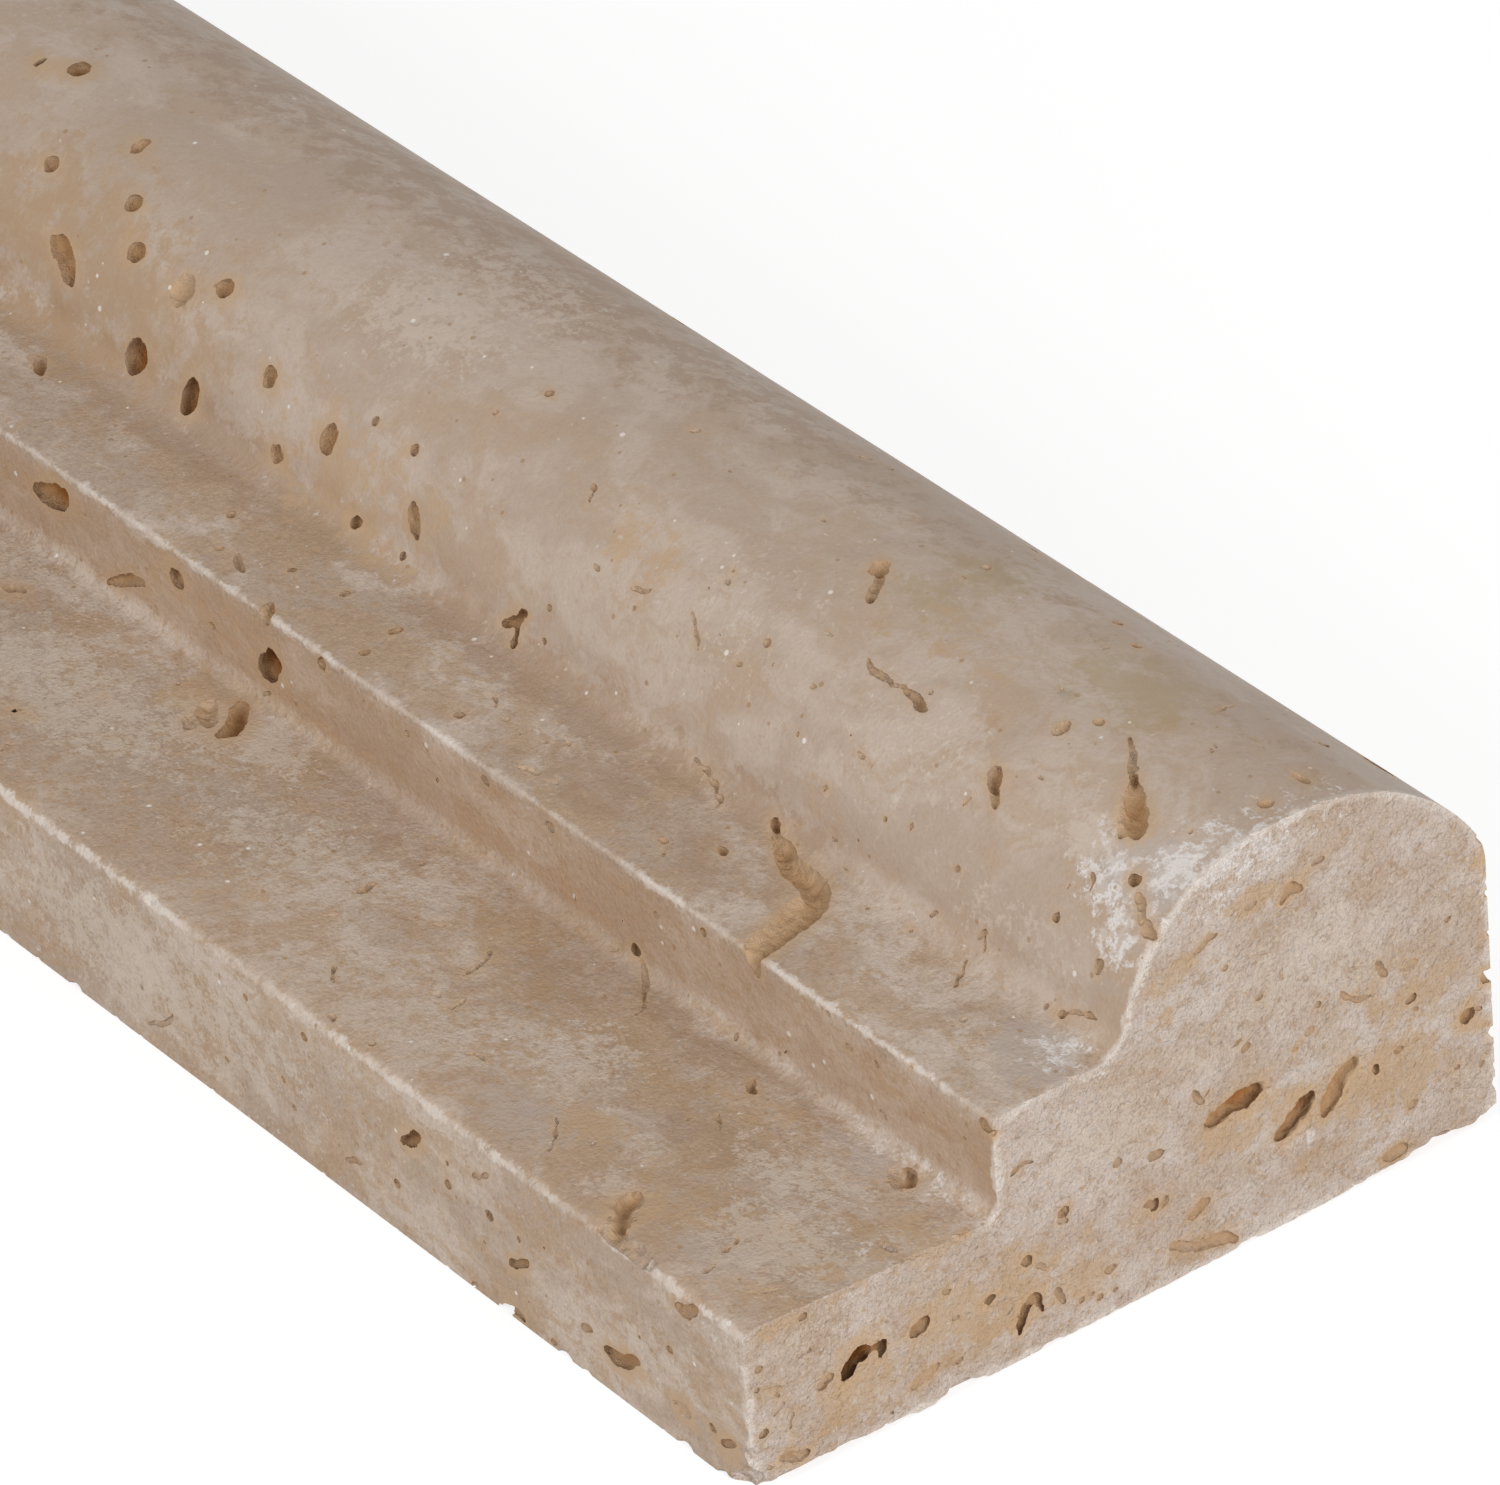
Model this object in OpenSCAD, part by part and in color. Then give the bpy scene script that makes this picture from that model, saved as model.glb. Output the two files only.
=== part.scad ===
// Crown moulding of honed travertine, sawn and profiled from one bar of stone.
//
// The bar lies on its flat back, as it is stored. Its length runs along X, the
// low lip faces -Y and the crest stands at +Y. The origin is at the middle of
// the flat back, so Z = 0 is the face that is set against the wall.
// The section is drawn once, from the lip to the back edge, and swept. Then the
// stone's larger open hollows are sunk into its faces.

/* [Stock] */

// Length of the bar between its two sawn ends
length = 305; // [150:5:610]
// Width of the flat back, from the lip to the back edge
width = 63.5; // [60:0.5:80]

/* [Lip] */

// Height of the lip at its front arris
lip_h = 13.4; // [9:0.2:17]
// Fall of the lip's top from the front arris to the riser
lip_fall = 1.2; // [0:0.1:3]
// Depth of the lip, from its front face to the riser
lip_d = 21.2; // [12:0.2:25]
// Radius worn on the lip's front arris
lip_arris_r = 0.8; // [0.2:0.1:2]
// Radius of the small hollow at the foot of the riser
foot_r = 1.2; // [0.4:0.1:2.5]

/* [Step] */

// Height of the step above the flat back
step_h = 20.2; // [17:0.2:24]
// Depth of the step's level tread, from the riser to the crest
tread_d = 10.8; // [7:0.2:15]
// Radius worn on the step's arris
step_arris_r = 0.4; // [0.2:0.1:1.5]
// Radius of the cove between the tread and the crest
cove_r = 2.5; // [0.5:0.1:4]

/* [Crest] */

// Height of the crest, which is the thickness of the bar
crest_h = 32.2; // [29:0.2:36]
// Radius of the crest's front shoulder
shoulder_r = 13.5; // [9:0.5:14]
// Depth of the crest's front, from the tread to where its back begins to fall
crest_front_d = 15.5; // [14:0.5:20]
// Height of the straight back edge, below the rounded corner
back_edge_h = 21; // [17:0.2:26]
// Radius of the rounded corner above the back edge
corner_r = 5; // [2:0.5:8]

/* [Hollows] */

// Depth of the stone's small hollows, as a share of the depth they have in this bar
hollow_share = 1; // [0.5:0.1:1.5]
// Distance of the tread's channel from the right-hand end, where it opens in the riser
channel_x = 26; // [12:1:60]
// Radius of the bend by which the channel turns along the bar
channel_bend_r = 8.4; // [4:0.2:10]
// Half the width of the channel's round floor
channel_half_w = 0.9; // [0.4:0.1:1.5]
// Depth of the channel below the tread
channel_depth = 0.8; // [0.3:0.1:1.5]

/* [Hidden] */

$fn = 96;
stone = "#CBB39A";
upright = 90;

// Lip: its top falls towards the riser, and both its roundings touch that slope.
lip_tilt = atan(lip_fall / lip_d);
function lip_top(y) = lip_h - y * tan(lip_tilt);
foot_y = lip_d - foot_r;
foot_z = lip_top(foot_y) + foot_r / cos(lip_tilt);

// Shoulder: its circle touches the crest's level and stands past the tread.
crest_y = lip_d + tread_d;
shoulder_y = crest_y + shoulder_r;
shoulder_z = crest_h - shoulder_r;

// Cove: its circle touches the tread and the shoulder, or the wall below it.
cove_z = step_h + cove_r;
cove_rise = max(0, cove_z - shoulder_z);
cove_y = shoulder_y - sqrt(pow(shoulder_r + cove_r, 2) - pow(cove_rise, 2));

// Back of the crest: one long arc from the land, touching the corner's circle.
land_y = crest_y + crest_front_d;
corner_y = width - corner_r;
crest_drop = crest_h - back_edge_h;
fall_d = corner_y - land_y;
fall_r = (pow(fall_d, 2) + pow(crest_drop, 2) - pow(corner_r, 2)) / (2 * (crest_drop - corner_r));
fall_z = crest_h - fall_r;

// Hollows seen on each face, each long and round-ended, as a list of
// [place, place, half length, half width, depth, turn]. The first place is the
// distance from the right-hand sawn end. The second is the height on the front
// and riser, the depth from the lip's front or from the riser on level faces, and
// the angle up from the tread on the shoulder. The turn is from the length.
FRONT_HOLLOWS = [
    [37.6, 9.1, 1.6, 0.6, 1, 45],
    [25.6, 5.2, 1.4, 0.45, 0.6, 30],
    [14.2, 3.5, 2.2, 0.8, 0.9, 15],
];
LIP_HOLLOWS = [
    [16.2, 2.8, 2.3, 0.7, 1, -50],
    [86, 16.4, 4.2, 2.2, 1.1, -20],
    [103, 18.6, 1.6, 0.7, 0.8, 20],
    [38, 18.5, 1.7, 0.4, 0.6, -35],
    [7.6, 18.8, 1.1, 0.5, 0.6, -35],
];
RISER_HOLLOWS = [
    [83.5, 16.2, 2.4, 1.4, 2, 48],
    [111.5, 17.6, 2.4, 0.9, 1.3, 22],
    [95, 17.7, 1.2, 0.8, 0.9, 40],
];
TREAD_HOLLOWS = [
    [37.4, 5.4, 0.9, 0.45, 0.6, -20],
    [122.9, 7.1, 1.5, 0.5, 0.5, -30],
    [96.2, 5.5, 0.9, 0.45, 0.4, -15],
];
SHOULDER_HOLLOWS = [
    [116, 18, 1.7, 1.1, 1.4, 55],
    [108.8, 18, 1.8, 1.1, 1.6, -65],
    [98.2, 17, 0.9, 0.7, 0.7, 70],
    [87.6, 14, 0.9, 0.6, 0.9, -30],
    [92.9, 31, 1.4, 0.8, 0.9, -80],
    [101.1, 38, 1.2, 0.7, 0.9, -60],
    [119.9, 47, 1.2, 0.8, 1, 30],
    [109.7, 53, 1.1, 0.7, 1, -10],
    [68.6, 16, 1.5, 0.5, 0.8, 50],
    [19.4, 54, 1.6, 0.6, 0.9, -50],
    [19, 77, 1.1, 0.5, 0.4, 90],
    [9.6, 70, 3.6, 0.9, 1, -38],
    [4.4, 53, 0.9, 0.65, 1.4, 0],
    [1.8, 46, 1.6, 0.5, 0.5, -30],
];
END_HOLLOWS = [
    [9.2, 6.5, 2, 1.1, 2.2, 20],
    [14.2, 6.8, 0.9, 0.5, 0.6, 0],
    [22.9, 3.6, 1.5, 0.5, 0.8, 60],
    [41.1, 11.5, 1.9, 0.6, 1.2, 5],
    [46, 8.1, 1.5, 0.6, 1.5, 40],
    [50, 9, 1.7, 0.6, 0.9, 50],
    [61.3, 9.3, 0.7, 0.6, 0.8, 90],
    [46.9, 26.3, 1, 0.6, 0.4, 10],
    [43.6, 26.9, 0.8, 0.4, 0.5, -5],
];

// Corner of an outline outside the circle that rounds it. The corner is at the
// origin, between the upright below it and a top that falls by tilt.
module arris_waste(r, tilt) {
    centre = [r, -r * (tan(tilt) + 1 / cos(tilt))];
    difference() {
        polygon([[0, 0], [0, centre[1]], centre, centre + r * [sin(tilt), cos(tilt)]]);
        translate(centre) circle(r);
    }
}

// Lip: a low slab under the whole bar, with its front arris worn round.
module lip_outline() {
    difference() {
        polygon([[0, 0], [width, 0], [width, lip_top(lip_d)], [lip_d, lip_top(lip_d)], [0, lip_h]]);
        translate([0, lip_h]) arris_waste(lip_arris_r, lip_tilt);
    }
}

// Step: riser and tread, with a worn arris and a small hollow at the foot.
module step_outline() {
    difference() {
        translate([lip_d, 0]) square([width - lip_d, step_h]);
        translate([lip_d, step_h]) arris_waste(step_arris_r, 0);
    }
    difference() {
        polygon([
            [foot_y, foot_z],
            [foot_y - foot_r * sin(lip_tilt), foot_z - foot_r * cos(lip_tilt)],
            [lip_d, lip_top(lip_d)],
            [lip_d, foot_z],
        ]);
        translate([foot_y, foot_z]) circle(foot_r);
    }
}

// Cove: the hollow that turns from the tread up into the shoulder.
module cove_outline() {
    difference() {
        polygon([
            [cove_y, cove_z],
            [cove_y, 0],
            [shoulder_y, 0],
            [shoulder_y, min(shoulder_z, cove_z)],
        ]);
        translate([cove_y, cove_z]) circle(cove_r);
    }
}

// Crest: shoulder and land in front, then the long arc down to the back corner.
// The arc is cut from its circle by a wedge that reaches well past the circle.
module crest_outline() {
    reach = 3;
    translate([shoulder_y, shoulder_z]) circle(shoulder_r);
    translate([crest_y, 0]) square([shoulder_r, shoulder_z]);
    translate([shoulder_y, 0]) square([land_y - shoulder_y, crest_h]);
    intersection() {
        translate([land_y, fall_z]) circle(fall_r);
        polygon([
            [land_y, fall_z],
            [land_y, fall_z + reach * fall_r],
            [land_y, fall_z] + reach * [fall_d, fall_r - crest_drop],
        ]);
    }
    translate([corner_y, back_edge_h]) circle(corner_r);
    translate([land_y, 0]) square([width - land_y, back_edge_h]);
}

module section() {
    lip_outline();
    step_outline();
    cove_outline();
    crest_outline();
}

// A long round-ended hollow in the face whose outward direction is +Z here.
module hollow(half_l, half_w, depth, turn) {
    d = depth * hollow_share;
    r = (pow(half_w, 2) + pow(d, 2)) / (2 * d);
    run = half_l - half_w;
    translate([0, 0, r - d])
        rotate([0, 90, turn])
            rotate_extrude()
                intersection() {
                    union() {
                        translate([-r, -run]) square([2 * r, 2 * run]);
                        translate([0, run]) circle(r);
                        translate([0, -run]) circle(r);
                    }
                    translate([0, -run - r]) square([r, 2 * (run + r)]);
                }
}

// A hollow of a face that is tipped about the length: 0 is level, 90 upright.
module face_hollow(h, y, z, tip) {
    translate([length - h[0], y, z]) rotate([tip, 0, 0]) hollow(h[2], h[3], h[4], h[5]);
}

// All the hollows in the swept faces, from the lip's front up to the shoulder.
module section_hollows() {
    for (h = FRONT_HOLLOWS) face_hollow(h, 0, h[1], upright);
    for (h = LIP_HOLLOWS) face_hollow(h, h[1], lip_top(h[1]), -lip_tilt);
    for (h = RISER_HOLLOWS) face_hollow(h, lip_d, h[1], upright);
    for (h = TREAD_HOLLOWS) face_hollow(h, lip_d + h[1], step_h, 0);
    for (h = SHOULDER_HOLLOWS) {
        y = shoulder_y - shoulder_r * cos(h[1]);
        z = shoulder_z + shoulder_r * sin(h[1]);
        face_hollow(h, y, z, upright - h[1]);
    }
}

// The hollows in the right-hand sawn end: depth from the lip's front, then height.
module end_hollows() {
    for (h = END_HOLLOWS)
        translate([length, h[0], h[1]]) rotate([90, 0, 90]) hollow(h[2], h[3], h[4], h[5]);
}

// Channel dissolved across the tread: from the riser inwards, bending along the bar.
module tread_channel() {
    translate([length - channel_x - channel_bend_r, lip_d, step_h + channel_half_w - channel_depth])
        rotate_extrude(angle = 90)
            translate([channel_bend_r, 0]) circle(channel_half_w);
}

module moulding() {
    color(stone)
        translate([-length / 2, -width / 2, 0])
            difference() {
                rotate([90, 0, 90]) linear_extrude(length) section();
                section_hollows();
                tread_channel();
                end_hollows();
            }
}

moulding();
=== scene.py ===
# %% [markdown]
# # A crown moulding of honed travertine
# The part is one bar of stone: a low lip, a step, and a rounded crest that falls to
# the back edge. It was sawn and profiled in one pass, then honed, so its long faces
# are smooth, while its two ends still show the saw. Travertine is full of dissolved
# voids, and most of what the eye reads here is voids: pits, cracks and channels.
# Everything is in metres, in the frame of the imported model. Sizes are written in
# millimetres, because a stone yard works in them, and turned into metres on use.

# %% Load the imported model
import math
import random

import bmesh
import bpy
import numpy as np
from mathutils import Matrix, Vector


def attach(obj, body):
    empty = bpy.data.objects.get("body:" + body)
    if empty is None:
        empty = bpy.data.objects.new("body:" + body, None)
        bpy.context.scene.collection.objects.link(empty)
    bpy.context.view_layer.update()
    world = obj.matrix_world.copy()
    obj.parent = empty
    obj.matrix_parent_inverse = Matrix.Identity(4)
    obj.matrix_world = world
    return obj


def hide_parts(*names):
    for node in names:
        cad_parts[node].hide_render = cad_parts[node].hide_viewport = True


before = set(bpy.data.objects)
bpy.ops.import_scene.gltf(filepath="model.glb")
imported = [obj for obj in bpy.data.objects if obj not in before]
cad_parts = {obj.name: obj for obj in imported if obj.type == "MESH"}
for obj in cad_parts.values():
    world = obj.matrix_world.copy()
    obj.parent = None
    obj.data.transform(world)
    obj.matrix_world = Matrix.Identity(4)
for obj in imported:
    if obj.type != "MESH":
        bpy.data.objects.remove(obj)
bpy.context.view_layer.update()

MM = 0.001

# %% [markdown]
# ## The camera
# A long lens stands to the right of the bar and looks down on it. The near sawn end
# is at the right, and the far end runs out of the frame at the upper left. The angles
# below turn the camera round the point that it looks at, and the small slides place
# the bar in the frame, which takes the place of a lens shift.

# %% Camera
# Angles in degrees, distances in mm, and the focal length in pixels of the frame.
FRAME_PX = (1500, 1485)
CAMERA_AZIMUTH, CAMERA_ELEVATION, CAMERA_ROLL = 55.886, 33.315, -5.031
CAMERA_DISTANCE = 730.82
CAMERA_SLIDE = (-24.76, 27.494)
FOCUS_PX = 11029.93
LOOK_AT = (152.5, 0, 12)


def camera_axes(azimuth, elevation, roll):
    """Right, up and backward directions of a camera at those angles, in degrees."""
    a, e, r = (math.radians(v) for v in (azimuth, elevation, roll))
    back = Vector((math.sin(a) * math.cos(e), -math.cos(a) * math.cos(e), math.sin(e)))
    right = (-back).cross(Vector((0, 0, 1))).normalized()
    up = right.cross(-back)
    return (right * math.cos(r) + up * math.sin(r), up * math.cos(r) - right * math.sin(r), back)


def make_camera():
    """The photograph's camera, as a Blender camera that the scene then uses."""
    right, up, back = camera_axes(CAMERA_AZIMUTH, CAMERA_ELEVATION, CAMERA_ROLL)
    eye = Vector(LOOK_AT) + back * CAMERA_DISTANCE + right * CAMERA_SLIDE[0] + up * CAMERA_SLIDE[1]
    data = bpy.data.cameras.new("photo_camera")
    data.sensor_width = 36
    data.lens = data.sensor_width * FOCUS_PX / FRAME_PX[0]
    data.clip_start, data.clip_end = 0.05, 10
    camera = bpy.data.objects.new("photo_camera", data)
    turn = Matrix((right, up, back)).transposed().to_4x4()
    camera.matrix_world = Matrix.Translation(eye * MM) @ turn
    bpy.context.collection.objects.link(camera)
    return camera


camera = make_camera()
bpy.context.scene.camera = camera
bpy.context.scene.view_settings.view_transform = "Standard"
print("lens, mm:", round(camera.data.lens, 1))

# %% [markdown]
# ## The section
# One outline, walked from the bottom of the lip's front face, over the lip, up the
# riser, across the tread, over the crest and down the back edge, makes the whole bar.
# Its arcs touch each other, so the light runs over them without a break. The same
# walk gives each point a developed length, which is how far a tape laid over the
# faces would reach. That length and the distance along the bar place every void.

# %% Sizes of the section
LENGTH, WIDTH = 305.0, 63.5
LIP_H, LIP_FALL, LIP_D, LIP_ARRIS_R, FOOT_R = 13.4, 1.2, 21.2, 0.8, 1.2
STEP_H, TREAD_D, STEP_ARRIS_R, COVE_R = 20.2, 10.8, 0.4, 2.5
CREST_H, SHOULDER_R, CREST_FRONT_D = 32.2, 13.5, 15.5
BACK_EDGE_H, CORNER_R = 21.0, 5.0

LIP_TILT = math.atan(LIP_FALL / LIP_D)
SHOULDER_Y, SHOULDER_Z = LIP_D + TREAD_D + SHOULDER_R, CREST_H - SHOULDER_R


def lip_top(y):
    """Height of the lip's top, which falls towards the riser."""
    return LIP_H - y * math.tan(LIP_TILT)


print("riser, mm:", round(STEP_H - lip_top(LIP_D), 2))
print("crest above the step, mm:", round(CREST_H - STEP_H, 2))

# %% Walk round the section
def arc(cy, cz, r, start, end, step):
    """Points of an arc from one angle to another, in degrees."""
    n = max(2, math.ceil(abs(end - start) / step))
    angles = [math.radians(start + (end - start) * i / n) for i in range(n + 1)]
    return [(cy + r * math.cos(a), cz + r * math.sin(a)) for a in angles]


def section_walk():
    """The section's outline without its flat back, as (depth, height) in mm."""
    tilt = math.degrees(LIP_TILT)
    cove_rise = STEP_H + COVE_R - SHOULDER_Z
    cove_run = math.sqrt((SHOULDER_R + COVE_R) ** 2 - cove_rise ** 2)
    cove_turn = math.degrees(math.atan2(cove_rise, cove_run))
    land_y, corner_y = LIP_D + TREAD_D + CREST_FRONT_D, WIDTH - CORNER_R
    drop, run = CREST_H - BACK_EDGE_H, corner_y - land_y
    fall_r = (run ** 2 + drop ** 2 - CORNER_R ** 2) / (2 * (drop - CORNER_R))
    fall_turn = math.degrees(math.atan2(fall_r - drop, run))
    arris_drop = LIP_ARRIS_R * (math.tan(LIP_TILT) + 1 / math.cos(LIP_TILT))
    foot_z = lip_top(LIP_D - FOOT_R) + FOOT_R / math.cos(LIP_TILT)
    walk = [(0, 0)]
    walk += arc(LIP_ARRIS_R, LIP_H - arris_drop, LIP_ARRIS_R, 180, 90 - tilt, 12)
    walk += arc(LIP_D - FOOT_R, foot_z, FOOT_R, 270 - tilt, 360, 12)
    walk += arc(LIP_D + STEP_ARRIS_R, STEP_H - STEP_ARRIS_R, STEP_ARRIS_R, 180, 90, 18)
    walk += arc(SHOULDER_Y - cove_run, STEP_H + COVE_R, COVE_R, 270, 360 - cove_turn, 8)
    walk += arc(SHOULDER_Y, SHOULDER_Z, SHOULDER_R, 180 - cove_turn, 90, 3)
    walk += arc(land_y, CREST_H - fall_r, fall_r, 90, fall_turn, 3)
    walk += arc(corner_y, BACK_EDGE_H, CORNER_R, fall_turn, 0, 6)
    walk += [(WIDTH, 0)]
    kept = [walk[0]]
    for point in walk[1:]:
        if math.dist(point, kept[-1]) > 0.01:
            kept.append(point)
    return np.array(kept)


WALK = section_walk()
STATIONS = np.r_[0, np.cumsum(np.linalg.norm(np.diff(WALK, axis=0), axis=1))]
print("points on the walk:", len(WALK), " developed length, mm:", round(float(STATIONS[-1]), 2))

# %% A place on the moulding
def on_face(x, s):
    """Point and outward direction on the swept faces: x is the distance from the right
    end, as a negative number, and s the developed length from the lip's bottom."""
    y, z = (float(np.interp(s, STATIONS, WALK[:, k])) for k in (0, 1))
    i = min(max(int(np.searchsorted(STATIONS, s)), 1), len(STATIONS) - 1)
    dy, dz = (WALK[i] - WALK[i - 1]) / (STATIONS[i] - STATIONS[i - 1])
    return Vector((LENGTH / 2 + x, y - WIDTH / 2, z)), Vector((0, -dz, dy))


def on_end(y, z, side=1):
    """Point and outward direction on a sawn end: 1 is the right end, -1 the left."""
    return Vector((side * LENGTH / 2, y - WIDTH / 2, z)), Vector((side, 0, 0))


def on_back(x, y):
    """Point and outward direction on the flat back, which the bar lies on."""
    return Vector((LENGTH / 2 + x, y - WIDTH / 2, 0)), Vector((0, 0, -1))


print("mouth of the channel, mm:", [round(v, 2) for v in on_face(-26, 41.5)[0]])

# %% [markdown]
# ## The voids
# Each void is a stroke: the points it runs through, how wide it opens at the face, and
# how deep it goes. A stroke is filled with balls that overlap, sunk so that each ball
# opens to the stroke's width, and the balls of all strokes are melted into one shape
# that is cut from the bar. This gives ragged mouths and undercut walls, as water
# makes them, which a round drill or a painted spot doesn't.
# The strokes that show best are listed one by one, face by face.

# %% Voids of the lip's front face
# Each row: points (along the bar, developed length), width, depth, all in mm.
FRONT_VOIDS = [
    ([(-38.7, 8.2), (-37.6, 8.9), (-36.8, 9.8)], 0.9, 1.3),
    ([(-30.5, 9.8), (-29.2, 10.4), (-28, 11.4)], 0.45, 0.5),
    ([(-29.0, 7.6), (-28.6, 7.8)], 0.9, 0.7),
    ([(-33.7, 7.4), (-33.4, 7.6)], 0.7, 0.5),
    ([(-33.5, 9.3), (-33.3, 9.4)], 0.5, 0.4),
    ([(-26.8, 4.6), (-25.6, 5.0), (-24.5, 5.9)], 0.75, 0.8),
    ([(-40.3, 4.2), (-39.9, 4.4)], 0.7, 0.5),
    ([(-46.3, 2.9), (-44.3, 3.5)], 0.5, 0.5),
    ([(-29.9, 4.7), (-29.7, 4.7)], 0.45, 0.4),
    ([(-25.4, 7.2), (-25.3, 7.3)], 0.45, 0.4),
    ([(-16, 3.4), (-14.5, 3.2), (-12.5, 4.1)], 1.3, 1.2),
    ([(-18.8, 3.8), (-17.6, 4.0)], 0.6, 0.6),
    ([(-8.7, 7.5), (-8.3, 7.5)], 0.55, 0.4),
    ([(-8.5, 3.1), (-7.0, 3.1)], 1.2, 0.45),
    ([(-4.4, 3.4), (-4.1, 3.4)], 0.9, 0.7),
    ([(-3.3, 2.6), (-1.7, 3.4)], 0.7, 0.6),
    ([(-7.2, 11.8), (-6.2, 12.0), (-5, 12.6)], 0.9, 0.6),
    ([(-50.1, 11.2), (-49.8, 11.3)], 0.7, 0.5),
    ([(-52.4, 4), (-52.2, 4.1)], 0.6, 0.4),
    ([(-60.6, 3.8), (-60.4, 3.8)], 0.5, 0.4),
    ([(-53.4, 5.8), (-53.2, 5.8)], 0.5, 0.4),
    ([(-57.1, 10.9), (-56.9, 10.9)], 0.5, 0.4),
    ([(-43.6, 8.1), (-43.4, 8.1)], 0.4, 0.3),
    ([(-19.3, 8.6), (-19.2, 8.6)], 0.3, 0.3),
    ([(-22.5, 8.2), (-22.4, 8.2)], 0.3, 0.3),
    ([(-15, 8.7), (-14.9, 8.7)], 0.3, 0.25),
    ([(-12, 6.6), (-11.9, 6.6)], 0.35, 0.3),
    ([(-28.6, 0.3), (-27.2, 0.5), (-25.8, 0.3)], 0.9, 0.7),
    ([(-22.6, 0.5), (-22.0, 0.6)], 0.6, 0.5),
    ([(-31.8, 0.1), (-31.2, 0.3)], 0.5, 0.4),
    ([(-70.5, 1.8), (-68.5, 2.6), (-67, 4.2)], 0.5, 0.5),
]

# %% Voids of the lip's top
LIP_VOIDS = [
    ([(-17.5, 17.5), (-16.4, 15.6), (-15.4, 14.8), (-14.8, 14.2)], 1.1, 0.8),
    ([(-17.2, 17.2), (-15.2, 14.4)], 2.0, 0.16),
    ([(-47.8, 27.5), (-47, 26), (-46.6, 24.5)], 0.55, 0.7),
    ([(-40.3, 34.8), (-40.1, 34.9)], 1.0, 1.0),
    ([(-40.5, 34.8), (-39.5, 34.3), (-37.3, 33), (-35.8, 31.6), (-35, 30.3)], 0.5, 0.5),
    ([(-23.5, 31.7), (-22.3, 30.8)], 0.75, 0.6),
    ([(-21.9, 27.6), (-21, 26.9), (-20, 26.4)], 0.4, 0.4),
    ([(-8.5, 33.2), (-7.5, 32.8), (-6.8, 32)], 0.85, 0.8),
    ([(-8.9, 32.2), (-7.4, 31.4)], 1.3, 0.14),
    ([(-38.5, 18.6), (-37.6, 19.3), (-36.8, 19.2)], 0.4, 0.3),
    ([(-28.3, 18.8), (-26.5, 17.5), (-25, 15.5)], 0.4, 0.35),
    ([(-7.6, 16.6), (-7.1, 15.4)], 0.4, 0.35),
    ([(-8.8, 19.6), (-8.4, 17.8)], 0.4, 0.3),
    ([(-53.2, 18), (-51.5, 16.8)], 0.4, 0.3),
    ([(-44, 22.5), (-43.5, 21)], 0.4, 0.3),
    ([(-2.4, 18.5), (-3.4, 16.2)], 0.4, 0.35),
    ([(-53.2, 26.5), (-52.4, 26.7)], 0.6, 0.5),
    ([(-43.6, 14.3), (-43.4, 14.3)], 0.6, 0.4),
    ([(-59.8, 24.7), (-59.8, 26.3)], 0.6, 0.5),
    ([(-2.6, 26.4), (-1.2, 26.7)], 0.7, 0.3),
    ([(-85.6, 32.8), (-84.4, 31.4), (-83.3, 30.1), (-82.9, 29.1)], 1.5, 1.2),
    ([(-87.2, 31), (-86, 30.2), (-84.6, 29.4)], 1.7, 0.4),
    ([(-86.4, 28.8), (-85.4, 28)], 1.4, 0.25),
    ([(-104.5, 34.3), (-103, 35.3), (-101.5, 36.1), (-100, 36.8)], 1.0, 0.8),
]

# %% Voids of the riser and its arris
RISER_VOIDS = [
    ([(-84.6, 36.4), (-83.9, 37.2), (-82.9, 38.2)], 2.2, 2.2),
    ([(-113.5, 38), (-111.4, 38.8), (-109.5, 39.7)], 1.8, 1.8),
    ([(-95.3, 38.9), (-94.7, 39.1)], 1.6, 1.3),
    ([(-84.3, 42.5), (-84.1, 41.6), (-83.8, 40.8)], 1.0, 0.9),
    ([(-57.4, 40.2), (-56.8, 40.2)], 0.8, 0.6),
    ([(-49.8, 40.5), (-49.2, 40.5)], 0.7, 0.5),
    ([(-31.9, 40.5), (-31.7, 40.5)], 0.7, 0.5),
    ([(-18.1, 40.9), (-17.7, 40.9)], 0.5, 0.4),
    ([(-15.9, 39.3), (-15.3, 39.3)], 0.6, 0.4),
    ([(-12.7, 39.5), (-12.5, 39.5)], 0.6, 0.4),
    ([(-8.9, 41.3), (-8.5, 41.3)], 0.45, 0.4),
    ([(-1.0, 40.7), (-0.6, 40.7)], 0.8, 0.6),
    ([(-76.9, 40.6), (-76.7, 40.6)], 0.8, 0.6),
    ([(-66.7, 39.7), (-66.3, 39.7)], 0.5, 0.4),
    ([(-91.3, 37.2), (-90.7, 37.2)], 0.6, 0.5),
    ([(-63.4, 37.4), (-63, 37.6)], 0.4, 0.3),
    ([(-46.2, 38.6), (-45.9, 38.7)], 0.35, 0.3),
]

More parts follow.
